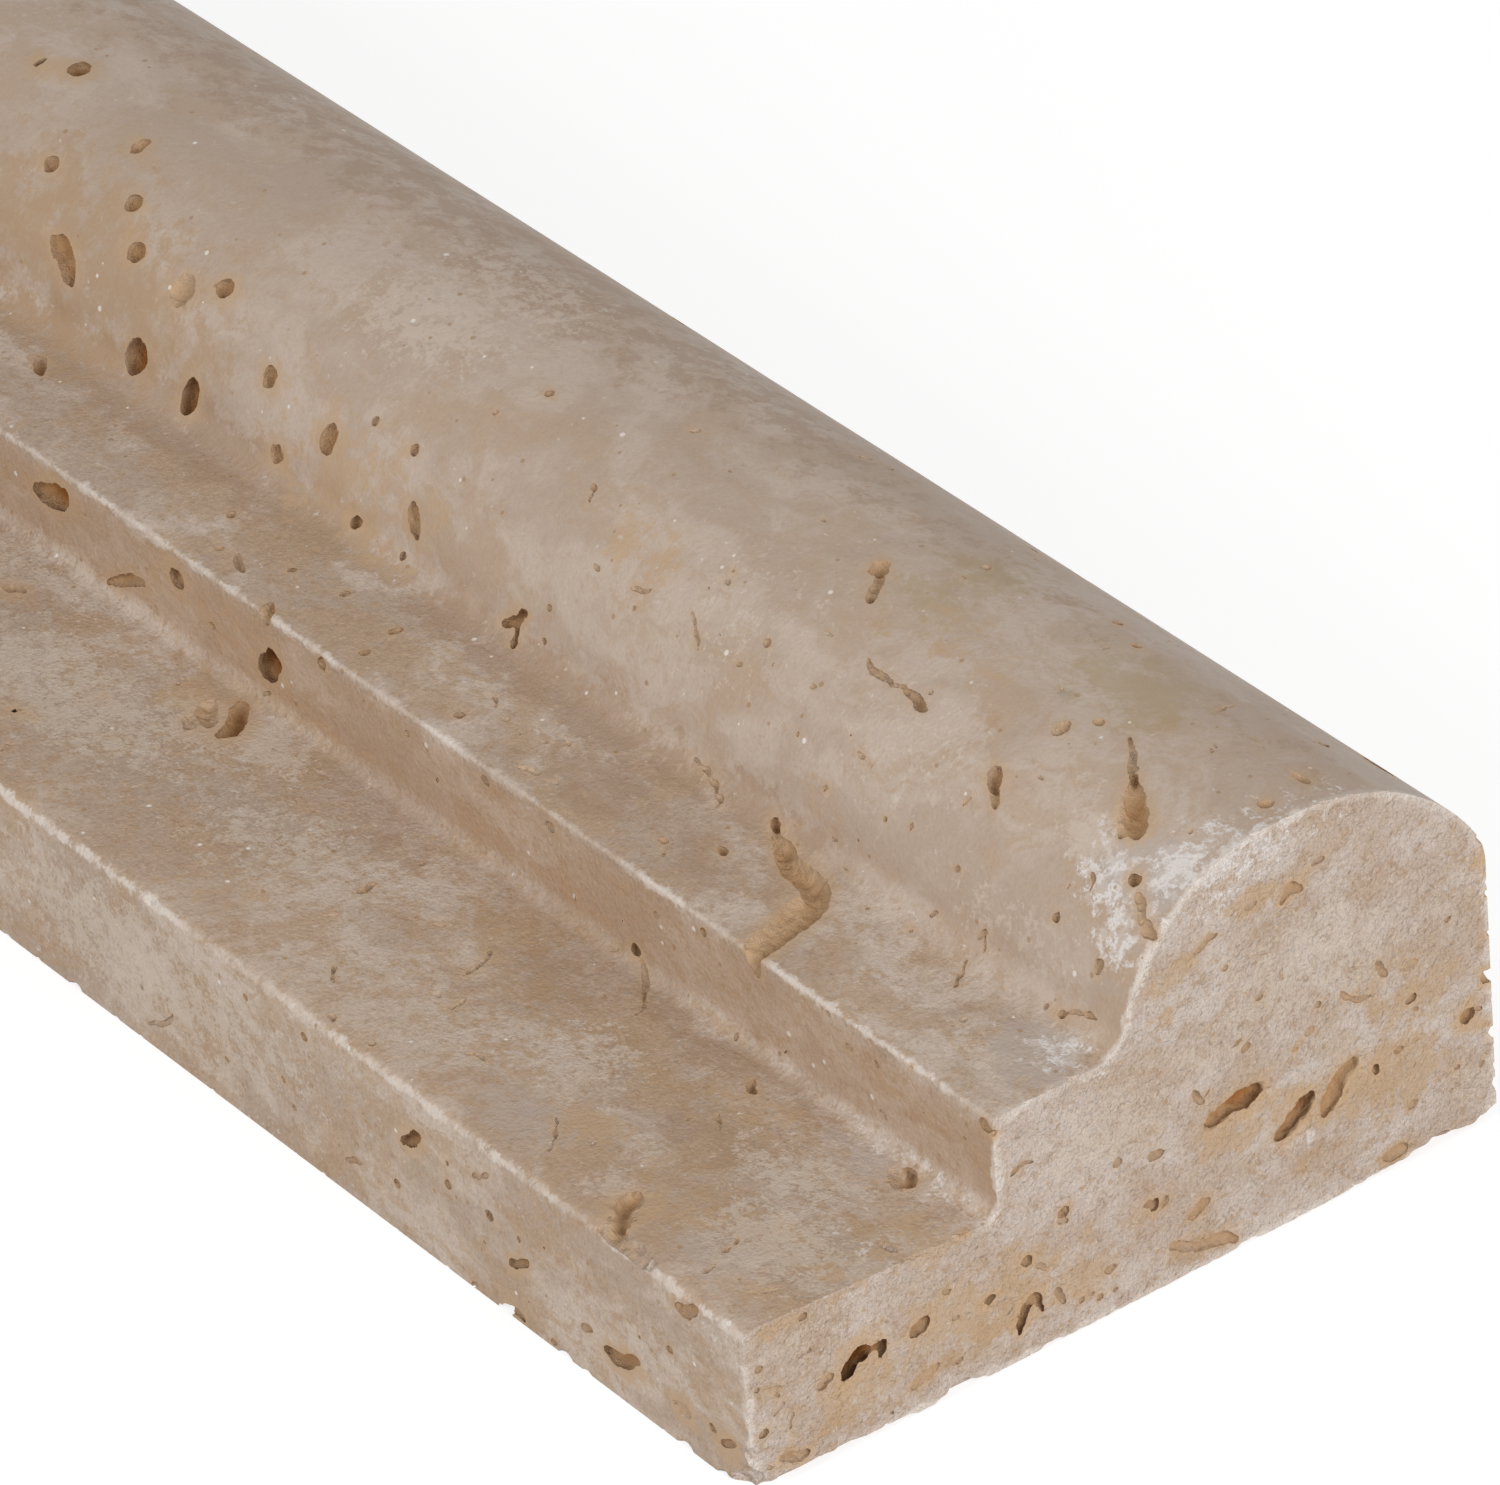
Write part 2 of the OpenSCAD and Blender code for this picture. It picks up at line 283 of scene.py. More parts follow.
# %% Voids of the tread, with its winding channel
TREAD_VOIDS = [
    ([(-37.2, 51.9), (-36.8, 51.7)], 0.9, 0.9),
    ([(-37, 51.9), (-35.5, 50.8), (-33, 50.1), (-30.5, 49.6), (-28.6, 48.8), (-27.6, 47.6)], 1.0, 0.6),
    ([(-34.8, 50.5), (-33, 50), (-30, 49.5), (-28.2, 48.2), (-27, 46.4), (-26.4, 44.4), (-26, 42.6),
      (-25.8, 40.4)], 2.0, 0.85),
    ([(-28.6, 47.6), (-27.4, 45.4), (-26.8, 43.2), (-26.5, 41.2)], 2.3, 0.6),
    ([(-37.8, 47.5), (-37, 47.1)], 0.75, 0.7),
    ([(-41.4, 45.4), (-40.8, 45.4)], 0.6, 0.4),
    ([(-55.4, 43.2), (-53.6, 43.8)], 0.7, 0.3),
    ([(-61, 46), (-60.6, 46)], 0.6, 0.4),
    ([(-46.8, 52.3), (-45, 52.1), (-43.5, 51.5), (-42, 50.8), (-41.8, 50)], 0.45, 0.5),
    ([(-31.6, 53.2), (-31, 53.2)], 0.35, 0.3),
    ([(-29.1, 54.2), (-28.9, 54.2)], 0.35, 0.3),
    ([(-20.9, 50.9), (-20.8, 50.9)], 0.4, 0.5),
    ([(-25.1, 50.4), (-25, 50.4)], 0.4, 0.5),
    ([(-15.5, 53), (-14.8, 53.9)], 0.45, 0.5),
    ([(-14.9, 53.5), (-14.5, 52.5)], 0.45, 0.45),
    ([(-15.3, 51.4), (-14.5, 50.2), (-13.7, 49)], 0.4, 0.35),
    ([(-5.7, 52.1), (-5.5, 52.1)], 0.7, 0.6),
    ([(-5.4, 52.2), (-4.4, 52.8), (-2.5, 53.1)], 0.4, 0.3),
    ([(-7.2, 52), (-7.1, 52)], 0.5, 0.4),
    ([(-10.2, 47), (-10.2, 47.4)], 0.55, 0.4),
    ([(-10.3, 46.2), (-10.2, 46.2)], 0.4, 0.3),
    ([(-91.5, 44.6), (-89.3, 43.4)], 0.6, 0.5),
    ([(-93.1, 44), (-92.9, 44)], 0.6, 0.5),
    ([(-74.8, 43.6), (-74.8, 44)], 0.8, 0.6),
    ([(-63.6, 43.9), (-63.4, 43.9)], 0.8, 0.6),
    ([(-124, 49.2), (-121.8, 48)], 0.9, 0.7),
    ([(-96.5, 47.4), (-95.9, 47.1)], 0.8, 0.6),
    ([(-87.1, 46.4), (-86.9, 46.4)], 0.7, 0.6),
    ([(-81.7, 47), (-81.7, 47.4)], 0.8, 0.6),
    ([(-75.3, 46.7), (-75.3, 47.3)], 0.8, 0.6),
    ([(-63.8, 47.3), (-62.5, 46.5)], 0.4, 0.35),
]

# %% Voids of the shoulder and the crest, near the right end
CREST_VOIDS = [
    ([(-20.3, 63.6), (-19.8, 63.1), (-19.4, 62.6)], 1.3, 1.0),
    ([(-19.4, 62.6), (-18.3, 61.6)], 0.8, 0.5),
    ([(-19, 68.2), (-19, 69.2)], 1.0, 0.45),
    ([(-17.7, 70.9), (-17.3, 70.9)], 0.9, 0.5),
    ([(-14.6, 71.2), (-13, 70.1), (-11.2, 68.6)], 0.6, 0.7),
    ([(-11.2, 68.6), (-9.8, 67.6), (-8.7, 66.6)], 1.1, 0.9),
    ([(-8.7, 66.6), (-7.9, 66), (-6.9, 65.4)], 1.9, 1.1),
    ([(-8.1, 65.6), (-7.7, 64.6)], 0.7, 0.7),
    ([(-9.8, 67.6), (-7, 65.3)], 2.2, 0.18),
    ([(-4.6, 62.6), (-4.2, 62.6)], 1.25, 1.1),
    ([(-3.4, 61.9), (-2.4, 61), (-1.3, 60.5), (-0.2, 60.2)], 0.9, 0.35),
    ([(-8.9, 57.8), (-8.7, 57.8)], 0.8, 0.6),
    ([(-3.5, 56), (-3.5, 56.8)], 1.0, 0.4),
    ([(-7.9, 61.4), (-7.2, 61), (-7.1, 60.4)], 0.4, 0.35),
    ([(-36, 65.2), (-34.6, 64.7), (-33, 64.6)], 0.6, 0.55),
    ([(-31.5, 64.9), (-30, 64.7), (-28.8, 64.4)], 0.75, 0.55),
    ([(-33, 64.6), (-31.5, 64.9)], 0.4, 0.35),
    ([(-43.3, 72), (-42.4, 71.4)], 1.5, 0.7),
    ([(-42.4, 71.2), (-41.5, 70.5), (-40.2, 69)], 0.9, 0.5),
    ([(-40.9, 65.1), (-40.1, 65.1)], 0.4, 0.4),
    ([(-44.5, 62.2), (-44.3, 62.2)], 0.6, 0.5),
    ([(-51.2, 64.1), (-50.8, 64.1)], 0.5, 0.4),
    ([(-42.9, 61.2), (-42.8, 61.2)], 0.4, 0.35),
    ([(-45.8, 60), (-45.3, 60)], 0.6, 0.5),
    ([(-57.2, 59.2), (-57, 59.2)], 0.5, 0.4),
    ([(-58.5, 60.2), (-56.5, 60.8)], 0.4, 0.4),
    ([(-52, 61.2), (-50.5, 60), (-49.7, 59.3)], 0.4, 0.4),
    ([(-24.4, 57), (-24.4, 57.4)], 0.4, 0.35),
    ([(-27, 56.6), (-26.9, 56.6)], 0.5, 0.4),
    ([(-19.1, 56.5), (-18.9, 56.5)], 0.6, 0.5),
    ([(-37.7, 58.2), (-37.6, 58.2)], 0.35, 0.3),
    ([(-3.7, 67.4), (-3.7, 67.6)], 0.5, 0.4),
    ([(-2.3, 72.6), (-2.1, 73)], 1.0, 0.45),
    ([(-3.9, 76.7), (-2.7, 76.9)], 1.0, 0.4),
    ([(-24.4, 79.7), (-24.3, 79.7)], 0.9, 0.6),
    ([(-26, 77.2), (-25.9, 77.2)], 0.35, 0.3),
    ([(-38.4, 77.4), (-38.4, 77.8)], 0.6, 0.5),
    ([(-28.2, 81), (-28.2, 81.2)], 0.7, 0.5),
    ([(-8, 82.8), (-7.8, 82.8)], 0.8, 0.7),
    ([(-14.3, 80), (-13.9, 77.9)], 0.4, 0.35),
]

# %% Voids of the crest, further along the bar
FAR_VOIDS = [
    ([(-109, 52.6), (-108.8, 53.6), (-108.6, 54.4)], 2.0, 2.0),
    ([(-116.2, 53.2), (-115.8, 54.2)], 2.3, 1.9),
    ([(-98.1, 53.6), (-97.9, 53.8)], 1.4, 1.0),
    ([(-87.9, 52.8), (-87.3, 52.8)], 1.1, 1.1),
    ([(-92.9, 56.4), (-92.7, 57.6)], 1.5, 1.0),
    ([(-101, 58.1), (-101, 58.7)], 1.4, 1.0),
    ([(-82, 56.3), (-81.3, 55.4), (-80.7, 54.5)], 1.2, 0.9),
    ([(-81.8, 52.8), (-81.6, 52.8)], 0.7, 0.6),
    ([(-120.2, 60.7), (-119.6, 60.7)], 1.6, 1.1),
    ([(-110, 62), (-109.4, 62)], 1.4, 1.0),
    ([(-128.5, 58), (-127, 57.8), (-125.5, 56)], 2.0, 1.3),
    ([(-113.6, 59.8), (-113.4, 60.6)], 2.4, 0.6),
    ([(-127.3, 67), (-127.3, 68)], 1.2, 0.8),
    ([(-123.3, 63.5), (-123.1, 63.5)], 1.5, 1.0),
    ([(-133.1, 62.5), (-132.9, 62.5)], 1.4, 1.0),
    ([(-139.5, 70.2), (-138.9, 70.2)], 1.5, 1.4),
    ([(-69.5, 52.5), (-68.5, 53.2), (-67.5, 54.5)], 0.8, 1.0),
    ([(-68.5, 53.2), (-67.8, 52.4), (-67.3, 51.8)], 0.7, 0.8),
    ([(-65, 53.3), (-64.9, 53.3)], 0.5, 0.4),
    ([(-65.2, 55.7), (-65.1, 55.7)], 0.5, 0.4),
    ([(-66.2, 73), (-65.8, 73.2)], 0.6, 0.5),
    ([(-77.6, 68.9), (-77.4, 68.9)], 0.7, 0.5),
    ([(-67.3, 65), (-66.4, 63.7)], 0.4, 0.35),
    ([(-79.7, 65.3), (-79.5, 65.3)], 0.5, 0.4),
    ([(-62.7, 60.1), (-61.9, 60.1)], 0.35, 0.3),
    ([(-89, 59.8), (-89, 60.2)], 0.8, 0.6),
    ([(-84, 59.7), (-84, 60.1)], 0.8, 0.6),
]

# %% Voids of the right sawn end
# Here the points are depth from the lip's front, and height.
END_VOIDS = [
    ([(7.9, 5.8), (8.6, 6.6), (9.3, 7.2), (10.2, 7.1)], 1.3, 2.8),
    ([(10.2, 7), (11.1, 7), (10.8, 6.3)], 1.0, 1.6),
    ([(13.7, 6.7), (14.7, 6.9)], 0.95, 0.8),
    ([(19.8, 5.9), (20.3, 6)], 0.95, 0.9),
    ([(22.2, 2.3), (22.9, 3.7), (23.7, 4.9), (24.4, 3.2)], 0.8, 1.0),
    ([(26, 9.6), (26.8, 9.2)], 0.5, 0.5),
    ([(23.1, 7.9), (23.4, 7.9)], 0.9, 0.7),
    ([(31.1, 11.7), (31.3, 11.7)], 0.8, 0.35),
    ([(33.2, 7.4), (34.3, 7.2), (33.8, 6.8)], 0.8, 0.9),
    ([(37.8, 14.3), (38.6, 13.1)], 0.65, 0.7),
    ([(39.3, 11.4), (40.6, 11.6), (42, 11.4), (43, 11.6)], 1.1, 1.6),
    ([(38.8, 11.2), (41, 11.6), (43.4, 12)], 1.7, 0.16),
    ([(44.8, 7.3), (45.9, 8), (47.2, 9.2)], 1.1, 1.8),
    ([(44.6, 7.1), (47.5, 9.5)], 1.6, 0.16),
    ([(48.8, 7.3), (49.3, 8.6), (50.2, 9.4), (51.3, 10)], 1.1, 1.1),
    ([(48.7, 7.2), (50, 9.2), (51.6, 10.3)], 1.7, 0.16),
    ([(50.5, 16.5), (51.2, 15.7), (52, 15.1), (53.3, 14.8)], 0.45, 0.5),
    ([(48.9, 16.2), (48.9, 16.4)], 0.6, 0.9),
    ([(56.2, 12.9), (56.9, 13.1)], 0.75, 0.6),
    ([(61.1, 9.2), (61.5, 9.5)], 1.1, 0.9),
    ([(53, 8.5), (53, 9.1)], 0.75, 0.7),
    ([(56.1, 4.3), (56.5, 4.5)], 0.6, 0.5),
    ([(60.1, 5.7), (60.3, 5.7)], 0.5, 0.4),
    ([(59.8, 17.9), (60.2, 17.9)], 0.5, 0.4),
    ([(48.8, 27.7), (49.8, 27.7)], 0.55, 0.5),
    ([(46.1, 25.7), (46.9, 26.8), (47.8, 26.1)], 0.8, 0.5),
    ([(43.2, 26.9), (44, 26.8)], 0.65, 0.5),
    ([(38.5, 25.2), (40.5, 25.9)], 0.55, 0.45),
    ([(41, 22.8), (41.2, 22.8)], 0.55, 0.45),
    ([(46.4, 13.6), (46.7, 13.6)], 0.6, 0.25),
    ([(3.4, 4), (3.5, 5.1)], 0.45, 0.45),
    ([(1.0, 4.6), (1.4, 4.7)], 0.75, 0.6),
    ([(0.9, 8.3), (1, 8.3)], 0.4, 0.35),
    ([(5.2, 9.3), (5.4, 9.3)], 0.5, 0.4),
    ([(1.0, 9.8), (1.4, 9.8)], 0.6, 0.5),
    ([(17, 6.1), (17.4, 6.1)], 0.5, 0.3),
    ([(12.5, 14), (13.5, 13), (14.5, 12.4), (15.6, 12.5)], 0.5, 0.5),
    ([(18.2, 12.7), (18.4, 12.9)], 1.0, 0.8),
    ([(4.9, 12.3), (5.2, 12.3)], 0.6, 0.5),
    ([(22.5, 15), (23.5, 15.6), (24.5, 15.4)], 0.45, 0.4),
    ([(21.2, 19.3), (21.5, 19)], 0.8, 0.6),
    ([(28.9, 1.7), (29.2, 1.7)], 0.6, 0.5),
    ([(27.4, 2.5), (27.6, 2.5)], 0.5, 0.4),
    ([(30.2, 2), (30.5, 2)], 0.5, 0.4),
    ([(35.3, 3), (37, 2.3), (39, 1.4), (40.5, 0.8)], 1.1, 0.5),
    ([(53.6, 1.3), (55.4, 1.1)], 0.9, 0.5),
    ([(62.9, 11.9), (63.6, 11.6)], 1.2, 0.8),
    ([(63.3, 7.1), (63.7, 6.9)], 0.8, 0.7),
    ([(63.4, 15), (63.6, 15)], 0.5, 0.6),
    ([(63.4, 18.5), (63.6, 18.5)], 0.5, 0.6),
]
print("voids placed by hand:", sum(len(rows) for rows in (
    FRONT_VOIDS, LIP_VOIDS, RISER_VOIDS, TREAD_VOIDS, CREST_VOIDS, FAR_VOIDS, END_VOIDS)))

# %% [markdown]
# ## From strokes to balls
# A ball that opens to a width w and reaches a depth d has a radius of
# (w^2 / 4 + d^2) / 2d, and its centre lies d - r below the face. Balls stand about a
# fifth of a width apart along the stroke, whose corners are cut round first. The
# stroke swells, thins and wanders by slow seeded waves, because an even row of balls
# would read as a drilled slot. Wide strokes wander less, or they would look knotted.

# %% Balls along a stroke
VOID, CHIP, HIDDEN = 0, 1, 2
ball_place, ball_radius, ball_kind, ball_stain = [], [], [], []
dice = random.Random(11)
# Balls stand this share of the stroke's width apart, or of WIDE mm where it is wider.
BALL_GAP, WIDE = 0.22, 1.4
# A stroke narrower than CRACK mm is no deeper than this share of its width.
CRACK, CRACK_DEPTH = 0.7, 0.55


def add_ball(place, radius, kind, stain=0.0):
    """Keeps one ball, in metres. Chips are cut apart from voids, because their walls are
    fresh and sandy, and hidden balls are cut coarser. stain is how much a void browns
    the stone around its mouth."""
    ball_place.append(place * MM)
    ball_radius.append(radius * MM)
    ball_kind.append(kind)
    ball_stain.append(stain)


def sink_ball(face, a, b, width, depth, kind, stain):
    """One ball that opens to width and reaches to depth at a point of a face."""
    point, out = face(a, b)
    radius = (width * width / 4 + depth * depth) / (2 * depth)
    add_ball(point - out * (depth - radius), radius, kind, stain)


def rounded(points):
    """The same path with its corners cut, twice over."""
    for _ in range(2):
        cut = [points[0]]
        for (a, b), (c, d) in zip(points, points[1:]):
            cut += [(near * a + (1 - near) * c, near * b + (1 - near) * d) for near in (0.75, 0.25)]
        points = cut + [points[-1]]
    return points


def sink_stroke(face, points, width, depth, kind=VOID):
    """A row of balls along a stroke, which wanders, swells and thins, and ends thin."""
    points = rounded(points)
    legs = [math.dist(p, q) for p, q in zip(points, points[1:])]
    total = sum(legs)
    count = max(3, math.ceil(total / (BALL_GAP * min(width, WIDE))))
    if width < CRACK:
        depth = min(depth, CRACK_DEPTH * width)
    stain = dice.uniform(0.6, 1.0) * min(1.0, 0.45 + 0.55 * depth)
    calm = min(1.0, 1.1 / width)
    waves = [
        (dice.uniform(0.5, 2.2), dice.uniform(0, 6.3), calm * dice.uniform(0.04, 0.14)) for _ in range(4)]
    for i in range(count + 1):
        left, k = total * i / count, 0
        while k < len(legs) - 1 and left > legs[k]:
            left -= legs[k]
            k += 1
        t = left / legs[k]
        a, b = (points[k][j] + (points[k + 1][j] - points[k][j]) * t for j in (0, 1))
        run = total * i / count / width
        swell = 1 + sum(size * math.sin(rate * run + start) for rate, start, size in waves)
        taper = min(1.0, 0.55 + 2.2 * min(i, count - i) / count)
        sway = sum(size * math.cos(rate * run + 2 * start) for rate, start, size in waves)
        aside = width * sway / legs[k]
        a += aside * (points[k + 1][1] - points[k][1])
        b -= aside * (points[k + 1][0] - points[k][0])
        sink_ball(face, a, b, width * swell * taper, depth * (0.6 + 0.4 * taper) * swell, kind, stain)


for rows in (FRONT_VOIDS, LIP_VOIDS, RISER_VOIDS, TREAD_VOIDS, CREST_VOIDS, FAR_VOIDS):
    for points, width, depth in rows:
        sink_stroke(on_face, points, width, depth)
for points, width, depth in END_VOIDS:
    sink_stroke(on_end, points, width, depth)
print("balls so far:", len(ball_place))

# %% [markdown]
# ## Worn and chipped edges
# A stone arris never stays sharp. A bevel would wear it evenly, as a machine does, so
# balls that stand outside the bar bite a little into each arris instead. The bites are
# small and close together on the long arrises, and larger along the bottom edges,
# which broke as the saw came through them. The lip's front arris also has one long
# flake near the right end.

# %% Bites along the edges
RIGHT = LENGTH / 2


def bite(point, out, radius, depth, kind=CHIP):
    """One ball that bites to a depth into an edge, from outside it."""
    add_ball(point + out.normalized() * (radius - depth), radius, kind)


def bite_along(place, length, gap, radius, depth, kind=CHIP):
    """Bites at seeded distances along an edge. place gives the point and direction at a
    distance, and gap, radius and depth are each a least and a most value."""
    run = dice.uniform(0, gap[0])
    while run < length:
        point, out = place(run)
        across = dice.uniform(*radius)
        bite(point, out, across, depth[0] + (depth[1] - depth[0]) * dice.random() ** 3, kind)
        run += dice.uniform(*gap)


def long_edge(s, out):
    """Place on a long arris, by its developed length and outward direction."""
    return lambda run: (on_face(-run, s)[0], Vector(out))


def end_edge(side):
    """Place on the edge between the swept faces and a sawn end."""
    def place(run):
        point, out = on_face(0, run)
        point.x = side * RIGHT
        return point, (out + Vector((side, 0, 0))).normalized()
    return place


# Developed lengths of the two arrises and the back edge, then the stretch of the bar
# that the camera sees from near, in mm.
LIP_ARRIS_S, STEP_ARRIS_S, BACK_S = 13.0, 41.5, STATIONS[-1]
NEAR = 115
UP_FRONT, DOWN_FRONT, DOWN_BACK = (0, -1, 1), (0, -1, -1), (0, 1, -1)
bite_along(long_edge(LIP_ARRIS_S, UP_FRONT), NEAR, (0.6, 2.6), (0.4, 1.1), (0.02, 0.24))
bite_along(long_edge(STEP_ARRIS_S, UP_FRONT), NEAR, (0.6, 2.4), (0.4, 0.9), (0.02, 0.22))
bite_along(long_edge(0, DOWN_FRONT), NEAR, (1.6, 6), (0.6, 1.2), (0.05, 0.5))
bite_along(long_edge(BACK_S, DOWN_BACK), LENGTH, (2, 5), (0.9, 1.8), (0.3, 1.1), HIDDEN)
for s, out, deepest in ((LIP_ARRIS_S, UP_FRONT, 0.5), (STEP_ARRIS_S, UP_FRONT, 0.5), (0, DOWN_FRONT, 0.2)):
    far = long_edge(s, out)
    bite_along(lambda run: far(run + NEAR), LENGTH - NEAR, (3, 9), (0.9, 1.6), (0.05, deepest), HIDDEN)
bite_along(end_edge(1), BACK_S, (0.5, 2.4), (0.45, 1.0), (0.05, 0.34))
bite_along(end_edge(-1), BACK_S, (1.2, 2.8), (0.9, 1.5), (0.15, 0.5), HIDDEN)
print("balls with the edges:", len(ball_place))

# %% The flake on the lip's arris, and the broken bottom of the right end
# The flake is a row of bites: how many, where the first stands along the bar, the step
# to the next, their developed length and their radius, in mm.
FLAKE_BITES, FLAKE_START, FLAKE_STEP, FLAKE_S, FLAKE_R = 13, -15.2, 0.36, 13.6, 1.9
for i in range(FLAKE_BITES):
    place, _ = on_face(FLAKE_START + FLAKE_STEP * i, FLAKE_S + 0.35 * math.sin(i))
    bite(place, Vector((0, -0.75, 1)), FLAKE_R, 0.34 + 0.08 * math.sin(1.3 * i), VOID)

# Broken corners: place along the bar, developed length, radius, depth.
BROKEN_CORNERS = [
    (-10.6, 13.3, 0.7, 0.45), (-0.5, 1.2, 1.3, 0.9), (-0.2, 3.2, 0.8, 0.45), (-1.6, 0.2, 1.4, 0.8),
]
for x, s, radius, deep in BROKEN_CORNERS:
    place, out = on_face(x, s)
    bite(place, out + Vector((0.5, 0, 0)), radius, deep)

# Height to which the bottom edge of the right end is broken, at depths from the lip.
BROKEN_EDGE = [
    (0, 1.6), (1.2, 0.85), (5, 0.7), (10, 0.5), (12, 0.45), (14, 0.1), (15.5, 0.25), (17, 1.0),
    (18, 0.7), (19.5, 0.15), (23.5, 0.15), (24.8, 0.4), (26, 0.15), (40.5, 0.15), (41.5, 0.4),
    (43, 0.1), (50, 0.15), (53, 0.4), (55.5, 0.35), (58.3, 1.0), (61, 0.35), (63.5, 0.95),
]
# Radius of the balls that break it, and the step from one to the next, in mm.
BREAK_R, BREAK_STEP = 0.9, 0.42
for y in np.arange(0, WIDTH, BREAK_STEP):
    height = float(np.interp(y, *zip(*BROKEN_EDGE))) * dice.uniform(0.8, 1.2)
    place = Vector((RIGHT + dice.uniform(-0.2, 0.3), y - WIDTH / 2, height - BREAK_R))
    add_ball(place, BREAK_R, CHIP)
print("balls with the broken edge:", len(ball_place))

# %% [markdown]
# ## Voids that no one placed
# The rest of the bar, its back, its far half and its left end are the same stone, so
# seeded strokes fill them at about the density of the near half. Most are small, and
# they run mostly along the bar, because the stone's beds do.

# %% Scattered voids
def scatter(face, count, span_a, span_b, lean=0.35, size=(1.0, 2.0), kind=HIDDEN, sink=(0.55, 1.2)):
    """Seeded strokes on a face, between the two spans of its map."""
    for _ in range(count):
        a, b = dice.uniform(*span_a), dice.uniform(*span_b)
        width = size[0] + (size[1] - size[0]) * dice.random() ** 2.2
        turn = dice.gauss(0, lean)
        half = width * dice.uniform(0.1, 1.3)
        da, db = half * math.cos(turn), half * math.sin(turn)
        points = [(a - da, b - db), (a, b + dice.uniform(-0.3, 0.3) * width), (a + da, b + db)]
        sink_stroke(face, points, width, width * dice.uniform(*sink), kind)


def on_left_end(y, z):
    """Place on the left sawn end."""
    return on_end(y, z, -1)


# Each call: the face, how many, the two spans of its map, how far the strokes lean from
# the bar's length, least and most width, kind, and depth as shares of the width.
TOP_SPAN, BACK_SPAN = (1, 84), (84, BACK_S - 1)
scatter(on_face, 105, (-LENGTH + 1, -142), TOP_SPAN, 0.7)
scatter(on_face, 26, (-142, -92), (2, 30), 0.7, (0.8, 1.2))
scatter(on_face, 44, (-92, -1), (14, 41), 0.8, (0.26, 0.6), VOID, (0.3, 0.8))
scatter(on_face, 60, (-60, -1), (42, 84), 0.8, (0.22, 0.5), VOID, (0.35, 0.8))
scatter(on_face, 10, (-75, -1), (1, 12), 0.8, (0.26, 0.5), VOID, (0.3, 0.8))
scatter(on_end, 30, (0.8, 62.5), (0.8, 10.5), 0.7, (0.3, 1.0), VOID, (0.25, 0.7))
scatter(on_end, 12, (34, 62.5), (9, 20), 0.7, (0.3, 0.9), VOID, (0.25, 0.7))
scatter(on_face, 80, (-LENGTH + 1, -1), BACK_SPAN, 0.5)
scatter(on_back, 90, (-LENGTH + 2, -2), (2, WIDTH - 2), 0.5, (1.0, 2.4))
scatter(on_left_end, 16, (1, 62), (1, 12.5), 0.4)
scatter(on_left_end, 12, (23, 62), (12, 21), 0.4, (0.9, 1.4))
scatter(on_left_end, 6, (36, 56), (21, 29), 0.4, (0.9, 1.2))
print("balls in all:", len(ball_place))

# %% [markdown]
# ## Node trees
# A tree could be drawn by hand in the node editor, but then it couldn't be read here.
# A few short helpers keep it readable as text: one puts a node down and fills its
# sockets with values or links, and the others do the same for sums and noises.

# %% Helpers for node trees
def put(tree, kind, sockets=None, **settings):
    """Puts a node in a tree. sockets fills its inputs by name or place, with a value
    or with another node's output, and settings are the node's own properties."""
    node = tree.nodes.new(kind)
    for name, value in settings.items():
        setattr(node, name, value)
    for name, value in (sockets or {}).items():
        if isinstance(value, bpy.types.NodeSocket):
            tree.links.new(value, node.inputs[name])
        else:
            node.inputs[name].default_value = value
    return node


def maths(tree, operation, *values):
    """A Math node on one to three values, and its result."""
    return put(tree, "ShaderNodeMath", dict(enumerate(values)), operation=operation).outputs[0]


def times(tree, first, second):
    """The product of two values."""
    return maths(tree, "MULTIPLY", first, second)


def vectors(tree, operation, *values):
    """A Vector Math node on vectors, and its result."""
    return put(tree, "ShaderNodeVectorMath", dict(enumerate(values)), operation=operation).outputs[0]


def scaled(tree, vector, share):
    """A vector, or a colour, made longer or brighter by a share."""
    return put(tree, "ShaderNodeVectorMath", {0: vector, "Scale": share}, operation="SCALE").outputs[0]


def noise(tree, place, scale, detail=3.0, roughness=0.55):
    """A noise of about one feature per 1/scale metres, from 0 to 1."""
    return put(tree, "ShaderNodeTexNoise", {
        "Vector": place, "Scale": scale, "Detail": detail, "Roughness": roughness}).outputs[0]


def group_tree(name, kind, inputs, outputs):
    """A node group with named sockets: each input is (name, type, default)."""
    tree = bpy.data.node_groups.new(name, kind)
    for label, socket, default in inputs:
        made = tree.interface.new_socket(label, in_out="INPUT", socket_type="NodeSocket" + socket)
        if default is not None:
            made.default_value = default
    for label, socket in outputs:
        tree.interface.new_socket(label, in_out="OUTPUT", socket_type="NodeSocket" + socket)
    return tree, tree.nodes.new("NodeGroupInput").outputs, tree.nodes.new("NodeGroupOutput")


# %% [markdown]
# ## The bar, swept from its section
# The bar follows one rule: a section carried along a straight line. Extruding it by
# hand would do for one bar, but a Geometry Nodes tree keeps its sizes as inputs. It
# turns the outline into a curve and carries it from the right end to the left, in
# slices that stand close together near the right end, where the voids are finest.
# Honing by hand leaves faces a little uneven, so a slow noise sinks each point by up
# to a few hundredths of a millimetre, and the arrises by more. Nothing moves outwards,
# and the flat back stays flat.

# %% Outline with its wear
# How far an arris wears to each side, and how long the outline's legs may be on the
# faces that show and on those that don't, in mm.
WEAR_REACH = 1.6
SHOWN_LEG, HIDDEN_LEG = 1.2, 4.0


